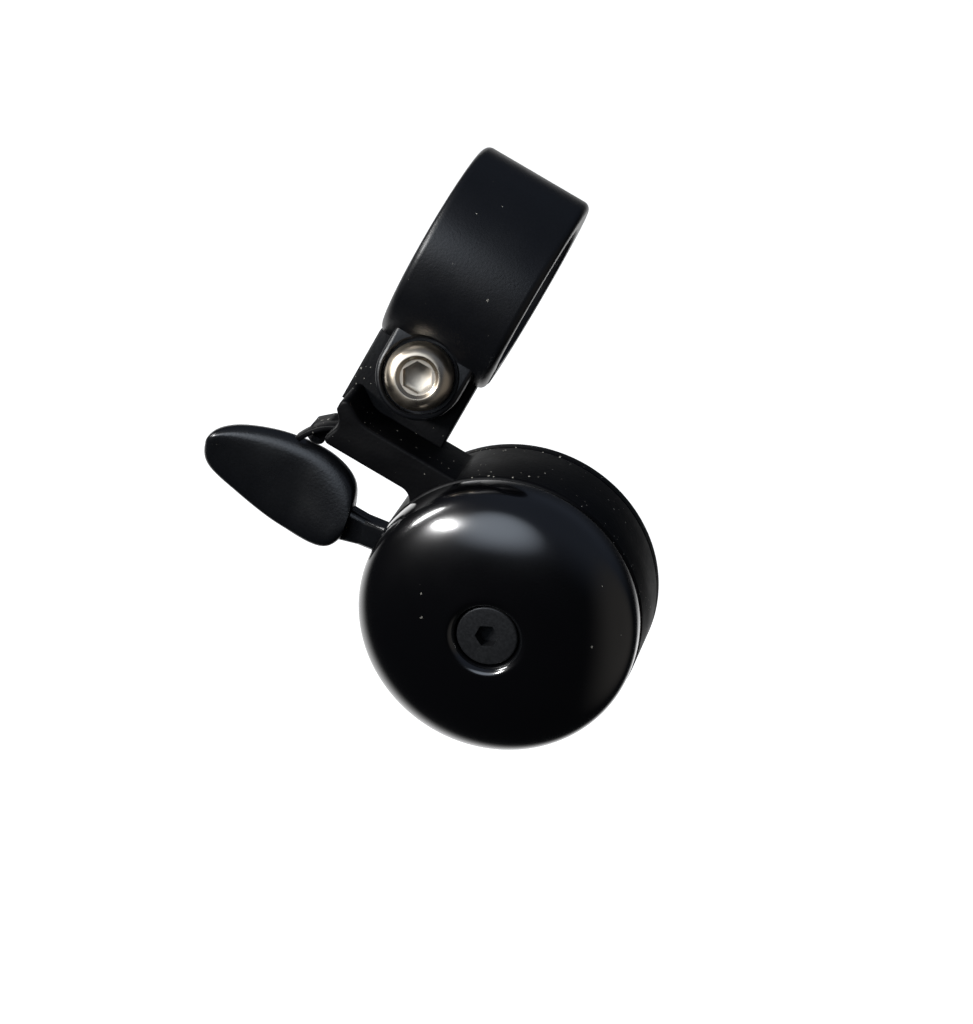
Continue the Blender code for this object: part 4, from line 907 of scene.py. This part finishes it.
def post_screw_shape(bell):
    """Pan-head screw from behind, with a hexagon socket."""
    _, _, _, back = bell_depths(bell)
    seat = back - FIT
    low = seat - 2.6 * MM
    head, shank, tip = 4.4 * MM, 2.5 * MM, seat + 9.4 * MM
    screw = lathe([
        (0, low, 0), (head * 0.72, low, 0.6 * MM), (head, low + 1.2 * MM, 0.7 * MM), (head, seat, 0.12 * MM),
        (shank, seat, 0), (shank, tip, 0.4 * MM), (0, tip, 0),
    ], steps=80)
    socket = prism(hexagon(3.0 * MM), low * 2, low + 2.0 * MM)
    return placed(carve(screw, "DIFFERENCE", socket), BELL)


def lever_place(lever):
    return BELL @ Matrix.Translation(PIVOT.to_3d()) @ Matrix.Rotation(lever.paddle_angle, 4, "Z")


def paddle_edges():
    """The upper and the lower edge of the paddle's outline, from its neck end to its tip."""
    loop = smooth_loop(PADDLE_SHAPE, steps=24)
    first = min(range(len(loop)), key=lambda i: loop[i].x)
    loop = loop[first:] + loop[:first]
    far = max(range(len(loop)), key=lambda i: loop[i].x)
    return loop[:far + 1], (loop[far:] + loop[:1])[::-1]


def height_at(chain, x):
    """The y of a chain of points at an x between its ends."""
    for a, b in zip(chain, chain[1:]):
        if a.x <= x <= b.x:
            return a.y + (b.y - a.y) * (x - a.x) / max(b.x - a.x, 1e-9)


def paddle_shape(lever):
    """The paddle, lofted from neck to tip: its sections have a crest near the top and a thin lower edge."""
    edges = paddle_edges()
    first, last = (edges[0][end].x for end in (0, -1))
    shape = bmesh.new()
    rings = []
    stations, around, crest = 44, 48, 0.72
    # Sections narrower than twice full_half are thinner too. The taper sets in over a share of the length.
    full_half, thinning, taper_run = 2.6 * MM, 0.6, 0.35
    # How square the sections are on their upper and on their lower side, 2 for an ellipse
    upper_power, lower_power = 2.7, 3.4
    for i in range(1, stations):
        share = (1 - math.cos(math.pi * i / stations)) / 2
        span = first + (last - first) * share
        along = lever.paddle_root + lever.paddle_length * span
        upper, lower = (height_at(edge, span) * lever.paddle_width for edge in edges)
        centre, half = (upper + lower) / 2, (lower - upper) / 2
        share_deep = min(1.0, (half / full_half) ** thinning)
        taper = lever.paddle_taper / 2 * min(1.0, share / taper_run) ** 2
        ring = []
        for k in range(around):
            t = math.tau * k / around
            fullness = 2 / (upper_power if math.cos(t) < 0 else lower_power)
            side, rise = (
                math.copysign(abs(part) ** fullness, part) for part in (math.cos(t), math.sin(t))
            )
            fall = taper * max(0.0, side + crest) / (1 + crest)
            deep = lever.paddle_thickness / 2 - fall
            ring.append(shape.verts.new((along, centre + half * side, share_deep * (deep * rise - fall))))
        rings.append([shape.edges.new((ring[k - 1], ring[k])) for k in range(around)])
    for a, b in zip(rings, rings[1:]):
        bmesh.ops.bridge_loops(shape, edges=a + b)
    for end in (rings[0], rings[-1]):
        bmesh.ops.edgeloop_fill(shape, edges=end)
    bmesh.ops.recalc_face_normals(shape, faces=shape.faces)
    lean = Matrix.Translation((0, 0, LEVER_PLANE)) @ Matrix.Rotation(lever.paddle_turn, 4, "X")
    return placed(shape, lever_place(lever) @ lean)


def lever_shape(lever):
    """Hub, toothed sector and neck as packed, with a lofted paddle and a rounded neck."""
    works = bmesh.new()
    works.from_mesh(frame["nodes"]["thumb_lever"].data)
    bmesh.ops.remove_doubles(works, verts=works.verts, dist=1e-6)
    place, root = lever_place(lever), lever.paddle_root
    inward = place.to_3x3() @ Vector((1, 0, 0))
    cut = place @ Vector((root - 2.2 * MM, 0, 0))
    whole = works.verts[:] + works.edges[:] + works.faces[:]
    bmesh.ops.bisect_plane(works, geom=whole, dist=WELD, plane_co=cut, plane_no=inward, clear_outer=True)
    bmesh.ops.holes_fill(works, edges=[e for e in works.edges if e.is_boundary])
    bmesh.ops.recalc_face_normals(works, faces=works.faces)
    start, end, width = root - 4.4 * MM, root + 4 * MM, lever.neck_width
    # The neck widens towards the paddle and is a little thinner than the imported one, which it meets.
    slim, flare = 0.15 * MM, 1.2 * MM
    half, inset = lever.neck_thickness / 2, 0.1 * MM
    neck = [(start, slim), (end, -flare), (end, width + flare), (start, width - slim)]
    neck = prism(neck, LEVER_PLANE - half + inset, LEVER_PLANE + half - inset, 0.9 * MM, segments=5)
    return carve(works, "UNION", placed(neck, place), paddle_shape(lever))


def bumper_shape():
    """Rubber button with a rounded foot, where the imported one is."""
    low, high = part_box("stop_bumper")
    radius, height = (high.x - low.x) / 2, high.z - low.z
    corners = [(0, 0, 0), (radius, 0, height * 0.4), (radius, height, 0.1 * MM), (0, height, 0)]
    foot = Matrix.Translation(((low.x + high.x) / 2, (low.y + high.y) / 2, low.z))
    return placed(lathe(corners, arc_steps=6), foot)


def spring_line(lever):
    """The spring's middle line in the bell's frame: hooked leg, coil and a straight leg past the post."""
    radius, pitch, steps = 4.7 * MM, 1.25 * MM, 96
    first = lever.paddle_angle - math.pi * 1.5
    last = math.atan2(-PIVOT.y, -PIVOT.x) - math.pi / 2 + math.tau * 2
    coil = []
    for i in range(steps + 1):
        angle_here = first + (last - first) * i / steps
        spot = PIVOT + polar(radius, angle_here)
        coil.append(Vector((spot.x, spot.y, SPRING_FOOT + pitch * (angle_here - first) / math.tau)))
    free = polar(3.0 * MM, lever.paddle_angle).to_3d()
    hook = Vector((0, 0, LEVER_PLANE - SPRING_FOOT))
    past_post = 1.5 * MM
    onward = (-PIVOT.normalized() * (PIVOT.length + past_post)).to_3d()
    corner = coil[0] + free
    bend, bend_steps = 0.9 * MM, 6
    before, after = corner + hook.normalized() * bend, corner - free.normalized() * bend
    legs = [bow(before, corner, after, i / bend_steps) for i in range(bend_steps + 1)]
    return [corner + hook] + legs + coil + [coil[-1] + onward]


def spring_shape(lever):
    """A round wire along the spring's middle line, closed at both ends."""
    curve = bpy.data.curves.new("spring_line", "CURVE")
    curve.dimensions = "3D"
    curve.bevel_depth = lever.spring_wire / 2
    curve.bevel_resolution = 4
    curve.use_fill_caps = True
    points = spring_line(lever)
    spline = curve.splines.new("POLY")
    spline.points.add(len(points) - 1)
    for point, spot in zip(spline.points, points):
        point.co = (*(BELL @ spot), 1.0)
    wire = bpy.data.objects.new("spring_line", curve)
    shape = bmesh.new()
    mesh = bpy.data.meshes.new_from_object(wire)
    shape.from_mesh(mesh)
    bpy.data.meshes.remove(mesh)
    bpy.data.curves.remove(curve)
    bmesh.ops.remove_doubles(shape, verts=shape.verts, dist=WELD)
    bmesh.ops.recalc_face_normals(shape, faces=shape.faces)
    return shape


# Stage: each lamp's place, size and power, what they all point at, and each patch of light in the world with
# its direction, the angles in degrees over which it fades, and its colour
LAMPS = {
    "key_softbox": ((-0.55, -0.56, 0.08), (0.24, 0.1), 7.5),
    "left_strip": ((-0.74, -0.22, 0.1), (0.1, 0.3), 3),
}
LAMP_AIM = Vector((0.015, -0.012, -0.03))
PATCHES = (
    ((-0.22, 0.8, -0.65), 28, 54, (1.2, 1.2, 1.2, 1)),
    ((-0.35, -0.86, 0.36), 0, 25, (2.0, 2.25, 2.6, 1)),
    ((0.9, -0.2, 0.15), 10, 50, (0.22, 0.21, 0.2, 1)),
)
SKY_LOW, SKY_HIGH, BACKDROP = (0.012, 0.013, 0.015, 1), (0.13, 0.155, 0.21, 1), (1, 1, 1, 1)
FLOOR_LEVEL, FLOOR_HALF = -0.16, 6


class BELL_OT_stage(bpy.types.Operator):
    """Pale floor, soft light and the camera."""

    bl_idname = "handlebar_bell.stage"
    bl_label = "Stage"

    def execute(self, context):
        scene = context.scene
        scene.view_settings.view_transform = "Standard"
        self.lay_floor(scene.bell_finishes.floor)
        self.light_world(scene)
        for name, (place, size, power) in LAMPS.items():
            light = bpy.data.lights.new(name, "AREA")
            light.shape = "ELLIPSE"
            light.size, light.size_y = size
            light.energy = power
            lamp = bpy.data.objects.new(name, light)
            lamp.location = place
            lamp.rotation_euler = (LAMP_AIM - Vector(place)).to_track_quat("-Z", "Y").to_euler()
            scene.collection.objects.link(lamp)
        self.add_camera(scene)
        return {"FINISHED"}

    def lay_floor(self, pale):
        shape = bmesh.new()
        bmesh.ops.create_grid(shape, x_segments=1, y_segments=1, size=FLOOR_HALF)
        bmesh.ops.translate(shape, verts=shape.verts, vec=(0, 0, FLOOR_LEVEL))
        floor = link("studio_floor", shape)
        material, *_ = new_finish("matt_studio_floor", {
            "Base Color": pale, "Roughness": 0.9, "Specular IOR Level": 0.1,
            "Emission Color": pale, "Emission Strength": 0.9,
        })
        floor.data.materials.append(material)
        floor.visible_glossy = False
        floor.visible_diffuse = False

    def light_world(self, scene):
        """A dim cool sky, a pale round sweep behind the bell and soft patches in front and on the right.

        The camera sees a plain pale backdrop in their place.
        """
        world = bpy.data.worlds.new("studio_world")
        world.use_nodes = True
        scene.world = world
        way = add_node(world, "TexCoord", {}).outputs["Generated"]
        height = add_node(world, "SeparateXYZ", {"Vector": way}).outputs["Z"]
        above = add_node(
            world, "MapRange", {"Value": height, "From Min": 0.1, "From Max": 0.9},
            interpolation_type="SMOOTHSTEP",
        )
        tone = add_node(world, "Mix", {"Factor": above, "A": SKY_LOW, "B": SKY_HIGH}, data_type="RGBA")
        for axis, inner, outer, light in PATCHES:
            nearness = add_node(
                world, "VectorMath", {0: way, 1: Vector(axis).normalized()}, operation="DOT_PRODUCT"
            )
            fade, full = (math.cos(math.radians(edge)) for edge in (outer, inner))
            patch = add_node(
                world, "MapRange", {"Value": nearness, "From Min": fade, "From Max": full},
                interpolation_type="SMOOTHSTEP",
            )
            tone = add_node(world, "Mix", {"Factor": patch, "A": tone, "B": light}, data_type="RGBA")
        seen = add_node(world, "LightPath", {}).outputs["Is Camera Ray"]
        backdrop = add_node(world, "Mix", {"Factor": seen, "A": tone, "B": BACKDROP}, data_type="RGBA")
        feed(world.node_tree.nodes["Background"], {"Color": backdrop})

    def add_camera(self, scene):
        """The photograph's view: from a little above, rolled, with the bell right of the middle."""
        elevation, azimuth, roll = math.radians(25.5), math.radians(1.0), math.radians(30)
        distance, seen_width, sensor = 400 * MM, 136.66 * MM, 36
        shift_right, shift_down = 17.26 * MM, 29.6 * MM
        right = Vector((math.cos(azimuth), math.sin(azimuth), 0))
        level = math.cos(elevation)
        towards = Vector((math.sin(azimuth) * level, -math.cos(azimuth) * level, math.sin(elevation)))
        upward = towards.cross(right)
        place = towards * distance + right * shift_right - upward * shift_down
        axes = Matrix((
            right * math.cos(roll) + upward * math.sin(roll),
            upward * math.cos(roll) - right * math.sin(roll),
            towards,
        )).transposed()
        lens = bpy.data.cameras.new("photo_camera")
        lens.sensor_fit = "HORIZONTAL"
        lens.sensor_width = sensor
        lens.lens = sensor * distance / seen_width
        lens.clip_start = 0.01
        camera = bpy.data.objects.new("photo_camera", lens)
        camera.matrix_world = Matrix.Translation(place) @ axes.to_4x4()
        scene.collection.objects.link(camera)
        scene.camera = camera


class BELL_OT_clamp_band(bpy.types.Operator):
    """The split band round the bore."""

    bl_idname = "handlebar_bell.clamp_band"
    bl_label = "Clamp band"

    def execute(self, context):
        clamp, coating = context.scene.bell_clamp, black_powder_coated_aluminium(context.scene)
        shape = placed(band_shape(clamp), clamp_place(clamp))
        piece("band", shape, coating, "clamp_band")
        return {"FINISHED"}


class BELL_OT_clamp_fasteners(bpy.types.Operator):
    """The clamp's bolt, washer and nut."""

    bl_idname = "handlebar_bell.clamp_fasteners"
    bl_label = "Clamp bolt, washer and nut"

    def execute(self, context):
        clamp = context.scene.bell_clamp
        steel, zinc = turned_stainless_steel(context.scene), bright_zinc_plated_steel(context.scene)
        place = bolt_place(clamp)
        piece("button_bolt", placed(bolt_shape(clamp), place), steel, "clamp_bolt")
        piece("bolt_washer", placed(washer_shape(clamp), place), steel, "clamp_washer")
        piece("hexagon_nut", placed(nut_shape(clamp), place), zinc, "clamp_nut")
        return {"FINISHED"}


class BELL_OT_housing_arm(bpy.types.Operator):
    """The moulding of housing, arm, tongue and stop hook."""

    bl_idname = "handlebar_bell.housing_arm"
    bl_label = "Housing and arm"

    def execute(self, context):
        scene = context.scene
        shape = housing_shape(scene.bell_sizes, scene.bell_clamp, scene.bell_lever)
        piece("housing", shape, spark_grained_nylon(scene), "housing_arm")
        return {"FINISHED"}


class BELL_OT_back_cover(bpy.types.Operator):
    """The cover behind the housing and its three screws."""

    bl_idname = "handlebar_bell.back_cover"
    bl_label = "Back cover and screws"

    def execute(self, context):
        bell, zinc = context.scene.bell_sizes, bright_zinc_plated_steel(context.scene)
        nylon = spark_grained_nylon(context.scene)
        piece("cover", cover_shape(bell), nylon, "back_cover")
        for number, spot in enumerate(COVER_SCREWS, 1):
            shape = placed(cover_screw_shape(bell), BELL @ spot)
            piece(f"slotted_screw_{number}", shape, zinc, f"cover_screw_{number}")
        return {"FINISHED"}


class BELL_OT_gong(bpy.types.Operator):
    """The gong and its countersunk screw."""

    bl_idname = "handlebar_bell.gong"
    bl_label = "Gong and screw"

    def execute(self, context):
        bell = context.scene.bell_sizes
        enamel, oxide = black_stoving_enamel(context.scene), blackened_machined_steel(context.scene)
        piece("gong", gong_shape(bell), enamel, "bell_dome")
        piece("crown_screw", gong_screw_shape(bell), oxide, "gong_screw")
        return {"FINISHED"}


class BELL_OT_gong_fixing(bpy.types.Operator):
    """The post, its screw from behind and the rubber isolator."""

    bl_idname = "handlebar_bell.gong_fixing"
    bl_label = "Post, screw and isolator"

    def execute(self, context):
        scene = context.scene
        zinc = bright_zinc_plated_steel(scene)
        piece("pan_screw", post_screw_shape(scene.bell_sizes), zinc, "post_screw")
        dress(zinc, "gong_post")
        dress(black_moulded_rubber(scene), "isolator_washer")
        return {"FINISHED"}


class BELL_OT_thumb_lever(bpy.types.Operator):
    """The thumb lever and its brass bush."""

    bl_idname = "handlebar_bell.thumb_lever"
    bl_label = "Thumb lever"

    def execute(self, context):
        scene = context.scene
        shape = lever_shape(scene.bell_lever)
        piece("lever", shape, satin_moulded_abs(scene), "thumb_lever", "lever")
        dress(turned_brass(scene), "lever_bush")
        return {"FINISHED"}


class BELL_OT_stop_bumper(bpy.types.Operator):
    """The rubber button that the paddle rests on."""

    bl_idname = "handlebar_bell.stop_bumper"
    bl_label = "Stop bumper"

    def execute(self, context):
        rubber = black_moulded_rubber(context.scene)
        piece("bumper", bumper_shape(), rubber, "stop_bumper")
        return {"FINISHED"}


class BELL_OT_lever_spring(bpy.types.Operator):
    """The lever's return spring."""

    bl_idname = "handlebar_bell.lever_spring"
    bl_label = "Return spring"

    def execute(self, context):
        lever, steel = context.scene.bell_lever, drawn_spring_steel(context.scene)
        wire = piece("return_spring", spring_shape(lever), steel, "lever_spring", None)
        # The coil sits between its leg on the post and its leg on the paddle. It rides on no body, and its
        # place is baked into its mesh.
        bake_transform(wire)
        return {"FINISHED"}


class BELL_OT_hammer_works(bpy.types.Operator):
    """Finishes of the pins, clips, pinion and hammer inside the housing."""

    bl_idname = "handlebar_bell.hammer_works"
    bl_label = "Hammer works"

    def execute(self, context):
        scene = context.scene
        dress(bright_zinc_plated_steel(scene), "lever_pin", "hammer_pin", "hammer_head")
        dress(drawn_spring_steel(scene), "lever_clip", "hammer_clip", "hammer_arm")
        dress(turned_brass(scene), "hammer_pinion")
        return {"FINISHED"}


OPERATORS = (
    BELL_OT_stage, BELL_OT_clamp_band, BELL_OT_clamp_fasteners, BELL_OT_housing_arm, BELL_OT_back_cover,
    BELL_OT_gong, BELL_OT_gong_fixing, BELL_OT_thumb_lever, BELL_OT_stop_bumper, BELL_OT_lever_spring,
    BELL_OT_hammer_works,
)
GROUPS = {
    "bell_clamp": ClampSizes, "bell_sizes": BellSizes, "bell_lever": LeverSizes, "bell_finishes": Finishes,
}


class BELL_PT_sidebar(bpy.types.Panel):
    """Lists the sizes, the colours and what makes each piece."""

    bl_label = "Handlebar bell"
    bl_idname = "BELL_PT_sidebar"
    bl_space_type = "VIEW_3D"
    bl_region_type = "UI"
    bl_category = "Bell"

    def draw(self, context):
        for title, name in zip(("Clamp", "Bell", "Lever", "Finishes"), GROUPS):
            group = getattr(context.scene, name)
            box = self.layout.box()
            box.label(text=title)
            for value in group.__annotations__:
                box.prop(group, value)
        for operator in OPERATORS:
            self.layout.operator(operator.bl_idname)


CLASSES = (*GROUPS.values(), *OPERATORS, BELL_PT_sidebar)


def register():
    for item in CLASSES:
        bpy.utils.register_class(item)
    for name, group in GROUPS.items():
        setattr(bpy.types.Scene, name, PointerProperty(type=group))


def unregister():
    for name in GROUPS:
        delattr(bpy.types.Scene, name)
    for item in reversed(CLASSES):
        bpy.utils.unregister_class(item)


def main():
    register()
    for operator in OPERATORS:
        group, name = operator.bl_idname.split(".")
        getattr(getattr(bpy.ops, group), name)()


if __name__ == "__main__":
    main()
